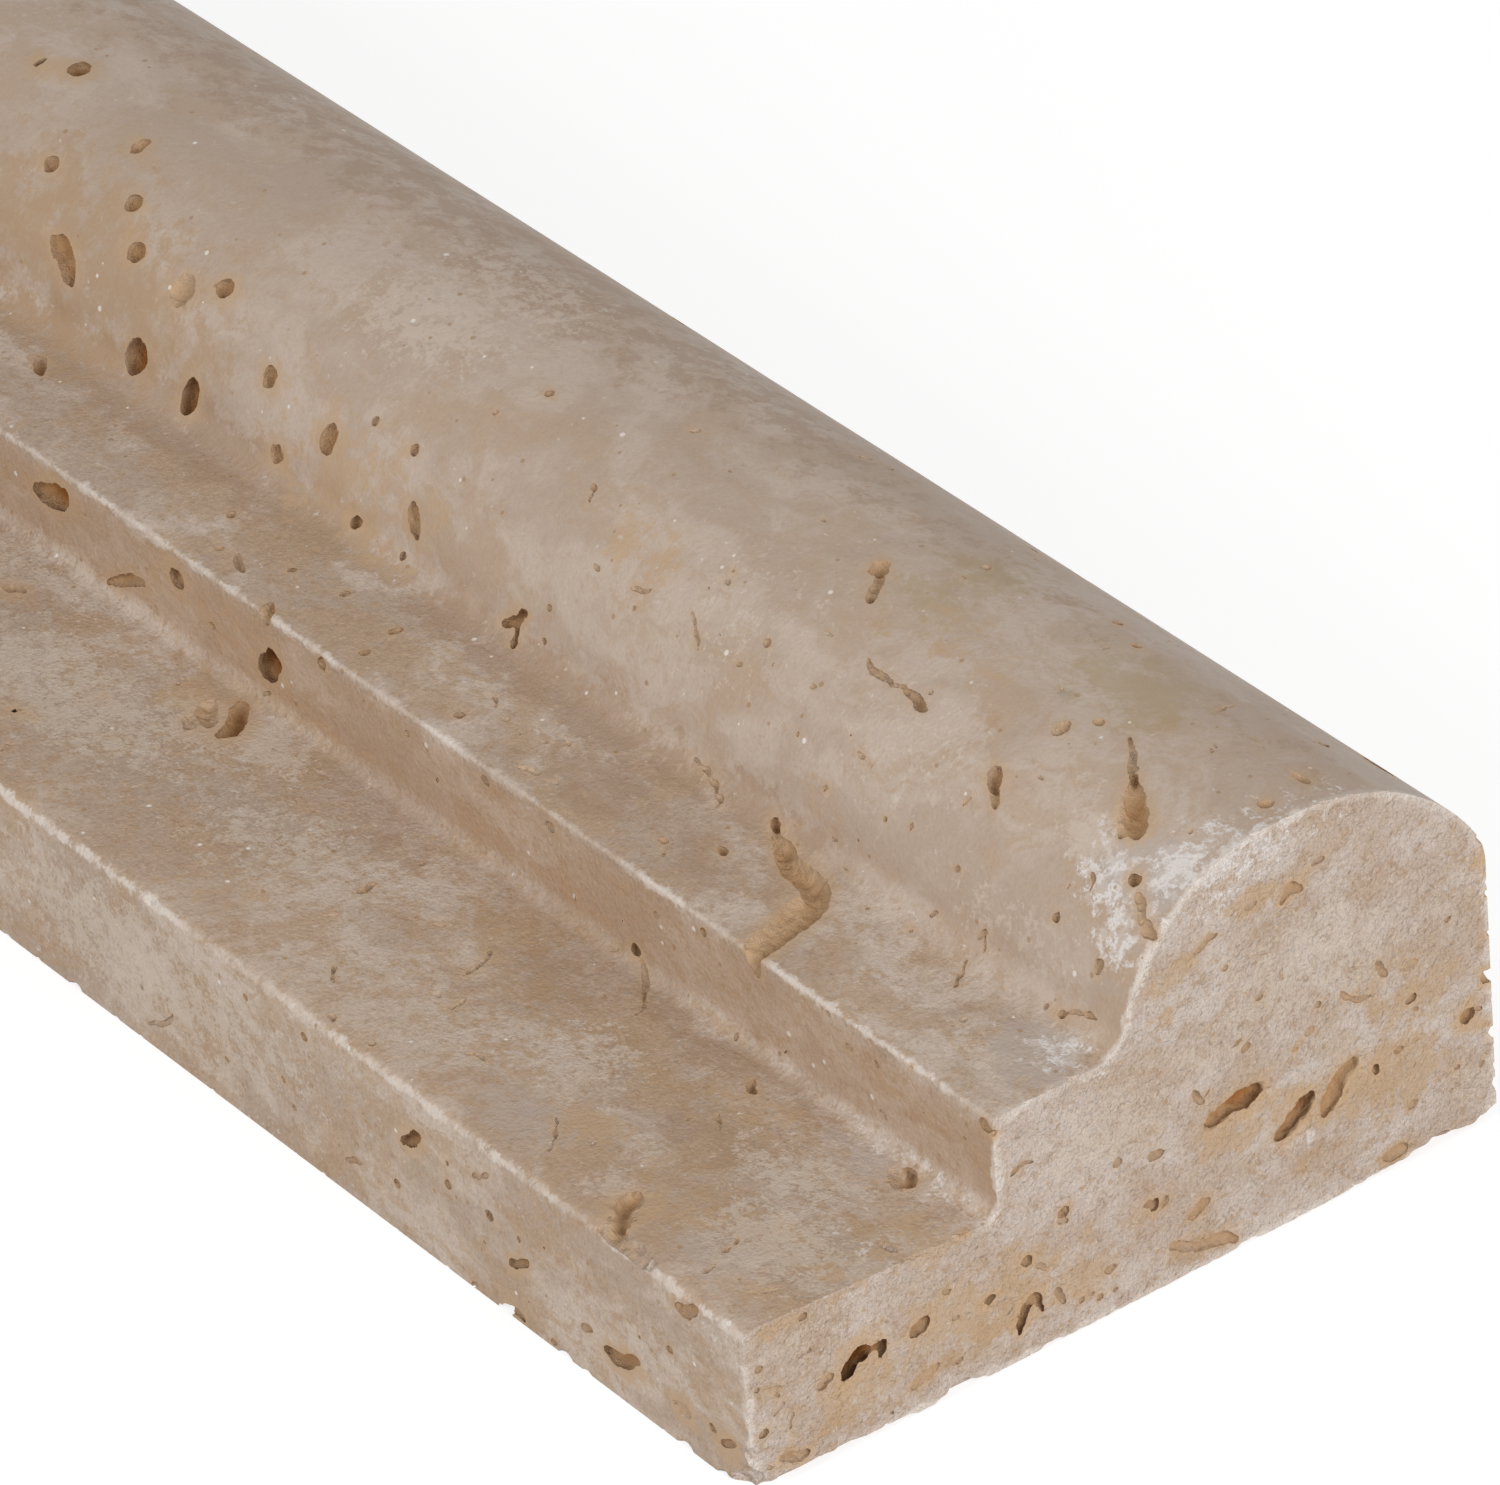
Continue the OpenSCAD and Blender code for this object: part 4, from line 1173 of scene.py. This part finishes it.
def clouds_group():
    """Shader group: the stone's clouds, crusts, veins, flecks and grain as one colour."""
    tree, given, out = group_tree("stone_clouds", "ShaderNodeTree", [
        ("Place", "Vector", None), ("Pale", "Color", (0.5, 0.4, 0.3, 1)),
        ("Tan", "Color", (0.4, 0.3, 0.2, 1)), ("Ochre", "Color", (0.3, 0.2, 0.1, 1)),
        ("Cloud Size", "Float", 0.014), ("Pale Share", "Float", 0.5), ("Ochre Share", "Float", 0.4),
        ("Grain", "Float", 0.1), ("Flecks", "Float", 0.5),
    ], [("Colour", "Color")])
    bend = put(tree, "ShaderNodeTexNoise", {
        "Vector": given["Place"], "Scale": 70.0, "Detail": 3.0, "Roughness": 0.65}).outputs["Color"]
    bend = vectors(tree, "MULTIPLY", vectors(tree, "SUBTRACT", bend, (0.5, 0.5, 0.5)), (0.018, 0.014, 0.01))
    bed = vectors(tree, "MULTIPLY", vectors(tree, "ADD", given["Place"], bend), (0.75, 1.1, 1.5))
    per_cloud = maths(tree, "DIVIDE", 1.0, given["Cloud Size"])
    slow = noise(tree, bed, per_cloud, 5.0, 0.6)
    low = maths(tree, "MULTIPLY_ADD", maths(tree, "SUBTRACT", 1.0, given["Pale Share"]), 0.4, 0.235)
    pale = ramp(tree, slow, low, maths(tree, "ADD", low, 0.16))
    apart = vectors(tree, "ADD", bed, (3.1, 1.7, 0.4))
    other = noise(tree, apart, times(tree, per_cloud, 1.6), 5.0, 0.62)
    ochre = ramp(tree, other, 0.49, 0.61)
    apart = vectors(tree, "ADD", bed, (0.7, 5.1, 2.4))
    crust = noise(tree, apart, times(tree, per_cloud, 6.0), 5.0, 0.74)
    blotch = times(tree, ramp(tree, crust, 0.5, 0.6), ramp(tree, other, 0.4, 0.52))
    ochre = times(tree, maths(tree, "MAXIMUM", ochre, blotch), given["Ochre Share"])
    vein = ramp(tree, maths(tree, "ABSOLUTE", maths(tree, "SUBTRACT", crust, 0.47)), 0.014, 0.0)
    vein = times(tree, vein, ramp(tree, slow, 0.5, 0.6))
    colour = mix_colour(tree, pale, given["Tan"], given["Pale"])
    colour = mix_colour(tree, ochre, colour, given["Ochre"])
    colour = mix_colour(tree, times(tree, vein, 0.4), colour, (0.6, 0.52, 0.45, 1))
    mottle = noise(tree, given["Place"], 1000.0, 4.0, 0.72)
    fleck = times(tree, ramp(tree, mottle, 0.56, 0.62), given["Flecks"])
    colour = mix_colour(tree, fleck, colour, mix_colour(tree, 0.5, given["Ochre"], (0.36, 0.2, 0.09, 1)))
    grain = noise(tree, given["Place"], 3600.0, 2.0, 0.75)
    both = maths(tree, "ADD", times(tree, mottle, -0.4), grain)
    swing = maths(tree, "SUBTRACT", both, 0.3)
    light = maths(tree, "MULTIPLY_ADD", swing, times(tree, given["Grain"], 6.0), 1.0)
    tree.links.new(scaled(tree, colour, light), out.inputs["Colour"])
    return tree


clouds = clouds_group()
print("nodes in the clouds:", len(clouds.nodes))

# %% [markdown]
# ## Worn edges, with a painted highlight, pinholes and patches
# Three more effects lie over the clouds. White powder shows where an arris or the rim
# of the sawn end has been rubbed, and the same pale band paints the highlight that
# these edges catch; it frays and breaks as it runs. Pinholes are too small to cut, so
# they are balls of dark colour, painted shade in the holes over their brown stain,
# sliced by the face at random, which gives dots of every size. A few of the balls are
# bright instead, like the crystals in the lime. Patches of lime and rust, and bands of
# painted shade, lie where the fields above put them.

# %% Group: worn edges
def worn_and_highlit_group():
    """Shader group: chalk along the arrises and the rim, by the distance from them; the pale band is partly
    rubbed lime and partly a painted highlight on the rounded edges.
    """
    tree, given, out = group_tree("worn_edges", "ShaderNodeTree", [
        ("Place", "Vector", None), ("Width", "Float", 0.5), ("Amount", "Float", 0.8),
    ], [("Mask", "Float")])
    fray = maths(tree, "SUBTRACT", noise(tree, given["Place"], 480.0, 5.0, 0.8), 0.45)
    away = maths(tree, "MULTIPLY_ADD", fray, 2.6, field(tree, "edge_mm"))
    away = maths(tree, "DIVIDE", away, given["Width"])
    broken = ramp(tree, noise(tree, given["Place"], 130.0, 4.0, 0.75), 0.4, 0.56)
    strength = times(tree, maths(tree, "MULTIPLY_ADD", broken, 0.6, 0.4), given["Amount"])
    tree.links.new(times(tree, ramp(tree, away, 1.2, 0.5), strength), out.inputs["Mask"])
    return tree


# %% Group: pinholes and crystals
def pinhole_group():
    """Shader group: small seeded balls, sliced by the face into dots, some of them
    pinholes, whose dark colour is painted shade in the holes over their stain, and a few
    of them bright crystals."""
    tree, given, out = group_tree("pinholes", "ShaderNodeTree", [
        ("Place", "Vector", None), ("Spacing", "Float", 0.0015), ("Share", "Float", 0.2),
        ("Size", "Float", 0.18),
    ], [("Holes", "Float"), ("Crystals", "Float")])
    cells = put(tree, "ShaderNodeTexVoronoi", {
        "Vector": given["Place"], "Scale": maths(tree, "DIVIDE", 1.0, given["Spacing"])})
    pick = put(tree, "ShaderNodeSeparateColor", {"Color": cells.outputs["Color"]}).outputs
    size = times(tree, given["Size"], maths(tree, "MULTIPLY_ADD", pick["Green"], 0.8, 0.5))
    near = ramp(tree, maths(tree, "DIVIDE", cells.outputs["Distance"], size), 1.0, 0.6)
    holes = maths(tree, "LESS_THAN", pick["Red"], given["Share"])
    crystals = maths(tree, "GREATER_THAN", pick["Red"], 0.93)
    tree.links.new(times(tree, near, holes), out.inputs["Holes"])
    tree.links.new(times(tree, near, crystals), out.inputs["Crystals"])
    return tree


worn, pinholes = worn_and_highlit_group(), pinhole_group()
print("groups:", [g.name for g in (clouds, worn, pinholes)])

# %% Patches in a material
# Each row: colour, strength, and whether the patch is a crust, which frays finely.
PATCH_LOOK = {
    # Brown is a stain, and on the long bands in the cove and on the crest's back slope it is painted shade.
    "brown": ((0.35, 0.235, 0.155, 1), 0.65, False),
    "rust": ((0.41, 0.265, 0.15, 1), 0.65, False),
    "olive": ((0.39, 0.29, 0.17, 1), 0.6, False),
    "honey": ((0.48, 0.325, 0.195, 1), 0.7, False),
    "grey": ((0.455, 0.38, 0.33, 1), 0.75, False),
    "cream": ((0.57, 0.475, 0.39, 1), 0.65, True),
    "white": ((0.68, 0.635, 0.605, 1), 1.0, True),
}


def patched(tree, place, colour):
    """Lays the patches over a colour. Their edges are frayed by a noise, and the lime
    crusts by a finer one, which also opens gaps in them. The white crust is thickest
    along its own fine veins."""
    slow_fray = maths(tree, "SUBTRACT", noise(tree, place, 380.0, 5.0, 0.78), 0.5)
    quick_fray = maths(tree, "SUBTRACT", noise(tree, place, 900.0, 4.0, 0.8), 0.5)
    vein = maths(tree, "ABSOLUTE", maths(tree, "SUBTRACT", noise(tree, place, 520.0, 4.0, 0.7), 0.5))
    crackle = maths(tree, "MULTIPLY_ADD", ramp(tree, vein, 0.08, 0.01), 0.65, 0.35)
    for name, (tint, strength, crusty) in PATCH_LOOK.items():
        fray, much = (quick_fray, 2.4) if crusty else (slow_fray, 1.9)
        frayed = maths(tree, "MULTIPLY_ADD", fray, much, field(tree, "patch_" + name))
        share = times(tree, ramp(tree, frayed, 0.32, 0.62), strength)
        if name == "white":
            share = times(tree, share, crackle)
        colour = mix_colour(tree, share, colour, tint)
    return colour


def haloed(tree, place, colour, tint, strength):
    """Browns the stone around the voids, with a ragged edge."""
    rough = maths(tree, "SUBTRACT", noise(tree, place, 900.0, 3.0, 0.78), 0.5)
    mask = ramp(tree, maths(tree, "ADD", rough, field(tree, "halo")), 0.12, 0.85)
    return mix_colour(tree, times(tree, mask, strength), colour, tint)


# %% [markdown]
# ## The three finishes
# Honing leaves a faint sheen, so the honed faces have a middling roughness and very
# little bump. The saw leaves a sandy face with no sheen, and a chip breaks much like
# it, so the chips share that finish. The walls of the voids are rough lime crystals,
# stained brown where dirt and damp have stayed in them, and their colour also holds
# painted light: a warm glow of light through thin stone, and painted shade deep down.

# %% Parts that the finishes share
# The pale colour of rubbed lime, which also serves as the painted highlight along the arrises and the rim.
CHALK_AND_HIGHLIGHT = (0.69, 0.615, 0.55, 1)


def object_place(tree):
    """The place on the piece, in metres."""
    return put(tree, "ShaderNodeTexCoord").outputs["Object"]


def placed(tree, group, place, **values):
    """A shader group in a material, with its own values, and its outputs."""
    sockets = {name.replace("_", " ").title(): value for name, value in values.items()}
    return put(tree, "ShaderNodeGroup", {"Place": place, **sockets}, node_tree=group).outputs


def chalked_and_highlit(tree, place, colour, width, amount):
    """Lays the chalk of the worn edges over a colour, with the painted highlight that it also holds."""
    return mix_colour(tree, placed(tree, worn, place, width=width, amount=amount)["Mask"], colour, CHALK_AND_HIGHLIGHT)


def depth_ramp(tree, low, high):
    """0 at a depth of low and 1 at high, in mm below the plain faces."""
    return ramp(tree, field(tree, "depth"), low, high)


def finish_with(tree, colour, roughness, height, bump_mm, sheen_level):
    """The surface of a finish: colour, roughness and a bump of a height in mm."""
    bump = put(tree, "ShaderNodeBump", {
        "Strength": 1.0, "Distance": bump_mm * MM, "Height": height}).outputs[0]
    surface = put(tree, "ShaderNodeBsdfPrincipled", {
        "Base Color": colour, "Roughness": roughness, "Specular IOR Level": sheen_level, "Normal": bump})
    put(tree, "ShaderNodeOutputMaterial", {"Surface": surface.outputs[0]})


# %% Honed faces
HONED_COLOURS = dict(
    pale=(0.53, 0.43, 0.352, 1), tan=(0.425, 0.319, 0.242, 1), ochre=(0.415, 0.278, 0.168, 1))
CREST_TINT, RISER_TINT = (0.475, 0.373, 0.299, 1), (0.47, 0.3, 0.18, 1)
HALO_TINT, PINHOLE_SHADE_TINT = (0.49, 0.33, 0.195, 1), (0.32, 0.185, 0.08, 1)
CRYSTAL_TINT = (0.78, 0.72, 0.66, 1)


def riser_mask(tree, axes):
    """1 on the riser, by height between the lip and the step's arris, and by depth."""
    foot, top = lip_top(LIP_D) + 0.4, STEP_H - 0.4
    above = ramp(tree, axes["Z"], foot * MM, (foot + 1.2) * MM)
    below = ramp(tree, axes["Z"], top * MM, (top - 1.3) * MM)
    front = LIP_D - WIDTH / 2 + 0.2
    return times(tree, times(tree, above, below), ramp(tree, axes["Y"], (front + 1) * MM, front * MM))


def fill_honed(tree):
    """The honed finish of the long faces: smooth and even on the crest, rougher and more
    mottled on the step and the lip, where the polishing wheel reached less well."""
    place = object_place(tree)
    axes = put(tree, "ShaderNodeSeparateXYZ", {"Vector": place}).outputs
    low_faces = ramp(tree, axes["Z"], (STEP_H + 1.3) * MM, (STEP_H - 0.4) * MM)
    low_faces = maths(tree, "MULTIPLY_ADD", low_faces, 0.5, 0.5)
    colour = placed(
        tree, clouds, place, **HONED_COLOURS, cloud_size=0.011, pale_share=0.52, ochre_share=0.65,
        grain=times(tree, low_faces, 0.11), flecks=times(tree, low_faces, 0.4),
    )["Colour"]
    evened = times(tree, maths(tree, "SUBTRACT", 1.0, low_faces), 0.8)
    colour = mix_colour(tree, evened, colour, CREST_TINT)
    colour = patched(tree, place, colour)
    colour = mix_colour(tree, times(tree, riser_mask(tree, axes), 0.38), colour, RISER_TINT)
    # Chalk along the arrises and the end's rim: rubbed lime, and a painted highlight.
    colour = chalked_and_highlit(tree, place, colour, 0.52, 0.8)
    colour = haloed(tree, place, colour, HALO_TINT, 0.75)
    dots = placed(tree, pinholes, place, spacing=0.0013, share=0.2, size=0.16)
    # Pinholes: painted shade in holes too small to cut, over their brown stain.
    colour = mix_colour(tree, times(tree, dots["Holes"], 0.65), colour, PINHOLE_SHADE_TINT)
    colour = mix_colour(tree, times(tree, dots["Crystals"], 0.8), colour, CRYSTAL_TINT)
    fine = noise(tree, place, 2600.0, 1.0, 0.75)
    fine = maths(tree, "MULTIPLY_ADD", noise(tree, place, 600.0, 4.0, 0.68), 2.0, fine)
    height = times(tree, fine, times(tree, low_faces, 0.75))
    height = maths(tree, "MULTIPLY_ADD", noise(tree, place, 130.0, 1.0), 2.0, height)
    roughness = maths(tree, "MULTIPLY_ADD", low_faces, 0.25, 0.38)
    finish_with(tree, colour, roughness, height, bump_mm=0.1, sheen_level=0.3)


fill_honed(honed.node_tree)
print("nodes in the honed finish:", len(honed.node_tree.nodes))

# %% Sawn ends, back and chips
SAWN_COLOURS = dict(
    pale=(0.535, 0.45, 0.393, 1), tan=(0.475, 0.372, 0.302, 1), ochre=(0.44, 0.314, 0.212, 1))
SAWN_HALO_TINT, SAWN_PINHOLE_SHADE_TINT = (0.52, 0.345, 0.2, 1), (0.42, 0.26, 0.13, 1)


def fill_sawn(tree):
    """The sandy finish that the saw leaves on the ends and the back, and of the chips."""
    place = object_place(tree)
    colour = placed(
        tree, clouds, place, **SAWN_COLOURS, cloud_size=0.009, pale_share=0.6, ochre_share=0.5,
        grain=0.11, flecks=0.5,
    )["Colour"]
    colour = patched(tree, place, colour)
    # Chalk along the rim of the sawn end: rubbed lime, and a painted highlight.
    colour = chalked_and_highlit(tree, place, colour, 0.7, 0.85)
    colour = haloed(tree, place, colour, SAWN_HALO_TINT, 0.8)
    dots = placed(tree, pinholes, place, spacing=0.0012, share=0.25, size=0.17)
    # Pinholes: painted shade in holes too small to cut, over their brown stain.
    colour = mix_colour(tree, times(tree, dots["Holes"], 0.5), colour, SAWN_PINHOLE_SHADE_TINT)
    sand = times(tree, noise(tree, place, 2600.0, 1.0, 0.75), 2.5)
    clumps = maths(tree, "MULTIPLY_ADD", noise(tree, place, 800.0, 4.0, 0.7), 4.0, sand)
    across = vectors(tree, "MULTIPLY", place, (0, 1.0, 1.5))
    saw = put(tree, "ShaderNodeTexWave", {
        "Vector": across, "Scale": 130.0, "Distortion": 3.0, "Detail": 1.0,
    }, bands_direction="DIAGONAL").outputs["Fac"]
    height = maths(tree, "MULTIPLY_ADD", saw, 0.2, clumps)
    finish_with(tree, colour, 0.85, height, bump_mm=0.12, sheen_level=0.15)


fill_sawn(sawn.node_tree)
print("nodes in the sawn finish:", len(sawn.node_tree.nodes))

# %% Walls of the voids
WALL_HALO_TINT = (0.5, 0.335, 0.195, 1)
# Each row: depths in mm between which a tint comes in, how much of it, and the tint.
# The first two tints are the brown stain with a painted glow of light through thin stone; the last, almost
# black-brown, is painted shade at the bottom of the voids.
WALL_STAIN_GLOW_AND_SHADE_TINTS = [
    (0.2, 1.0, 0.85, (0.49, 0.3, 0.155, 1)),
    (0.8, 1.8, 1.0, (0.42, 0.18, 0.052, 1)),
    (1.3, 2.1, 1.0, (0.22, 0.075, 0.02, 1)),
]


def fill_eaten(tree):
    """The crystalline walls of the voids: the stone's own colour at the mouth, then
    honey-brown with depth, partly the brown stain and partly painted light. Thin stone
    glows warm, and the light warm tints paint that glow, so the colour deepens more than
    it darkens; the darkest tint is painted shade deep in the voids, and the shadows do
    the rest."""
    place = object_place(tree)
    colour = placed(
        tree, clouds, place, **HONED_COLOURS, cloud_size=0.012, pale_share=0.5, ochre_share=0.55,
        grain=0.12, flecks=0.4,
    )["Colour"]
    colour = haloed(tree, place, colour, WALL_HALO_TINT, 0.85)
    for low, high, amount, tint in WALL_STAIN_GLOW_AND_SHADE_TINTS:
        colour = mix_colour(tree, times(tree, depth_ramp(tree, low, high), amount), colour, tint)
    height = maths(tree, "ADD", noise(tree, place, 2200.0, 3.0, 0.7), noise(tree, place, 800.0, 1.0))
    finish_with(tree, colour, 0.9, height, bump_mm=0.24, sheen_level=0.05)


fill_eaten(eaten.node_tree)
print("nodes in the void walls:", len(eaten.node_tree.nodes))

# %% [markdown]
# ## Floor and light
# The bar lies on a plain pale floor that reads as white. A floor lit to white would
# need so much light that the stone would burn out, so the floor's material glows where
# the camera sees it, and keeps the bar's soft shadow. One wide lamp stands to the right
# of the camera and above, where it lights the sawn end and the tops, a weaker one fills
# from the left, and an even pale sky does the rest.

# %% Floor
FLOOR_HALF, FLOOR_DROP = 4.0, 0.02 * MM


def seen_directly(tree):
    """1 for the rays that show a thing to the camera, straight or in a reflection."""
    rays = put(tree, "ShaderNodeLightPath").outputs
    mirrored = maths(tree, "MAXIMUM", rays["Is Glossy Ray"], rays["Is Transmission Ray"])
    return maths(tree, "MAXIMUM", rays["Is Camera Ray"], mirrored)


def make_floor():
    """A wide flat floor just under the bar."""
    data = bpy.data.meshes.new("floor")
    corners = [
        (x * FLOOR_HALF, y * FLOOR_HALF, -FLOOR_DROP) for x, y in ((-1, -1), (1, -1), (1, 1), (-1, 1))]
    data.from_pydata(corners, [], [(0, 1, 2, 3)])
    piece = bpy.data.objects.new("floor", data)
    bpy.context.collection.objects.link(piece)
    paint = empty_material("floor_white")
    tree = paint.node_tree
    bounce = put(tree, "ShaderNodeBsdfDiffuse", {"Color": (0.8, 0.8, 0.8, 1)}).outputs[0]
    faint = put(tree, "ShaderNodeBsdfDiffuse", {"Color": (0.4, 0.4, 0.4, 1)}).outputs[0]
    glow = put(tree, "ShaderNodeEmission", {"Color": (1, 1, 1, 1), "Strength": 0.72}).outputs[0]
    shown_floor = put(tree, "ShaderNodeAddShader", {0: faint, 1: glow}).outputs[0]
    both = put(tree, "ShaderNodeMixShader", {0: seen_directly(tree), 1: bounce, 2: shown_floor}).outputs[0]
    put(tree, "ShaderNodeOutputMaterial", {"Surface": both})
    data.materials.append(paint)


make_floor()
print("floor, m:", 2 * FLOOR_HALF, "square")

# %% Lamps and sky
LAMP_AIM = Vector((0.1, 0, 0.015))


def make_lamp(name, azimuth, elevation, distance, size, power):
    """A wide square lamp that looks at the right part of the bar."""
    _, _, back = camera_axes(azimuth, elevation, 0)
    data = bpy.data.lights.new(name, "AREA")
    data.shape, data.size, data.energy = "SQUARE", size, power
    lamp = bpy.data.objects.new(name, data)
    lamp.location = LAMP_AIM + back * distance
    lamp.rotation_euler = back.to_track_quat("Z", "Y").to_euler()
    bpy.context.collection.objects.link(lamp)


# Angles in degrees, distance and size in metres, power in watts.
make_lamp("right_lamp", azimuth=85, elevation=26, distance=1.0, size=0.5, power=6.3)
make_lamp("front_lamp", azimuth=5, elevation=30, distance=1.2, size=0.5, power=5.2)


def make_sky(strength):
    """An even sky that lights at a strength, and shows as white."""
    sky = bpy.data.worlds.new("pale_sky")
    sky.use_nodes = True
    tree = sky.node_tree
    tree.nodes.clear()
    level = maths(tree, "MULTIPLY_ADD", seen_directly(tree), 1.0 - strength, strength)
    light = put(tree, "ShaderNodeBackground", {"Color": (1, 1, 1, 1), "Strength": level}).outputs[0]
    put(tree, "ShaderNodeOutputWorld", {"Surface": light})
    bpy.context.scene.world = sky


make_sky(strength=0.37)

# %% Hand the stone to the frame
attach(stone, "root")
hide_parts("moulding")
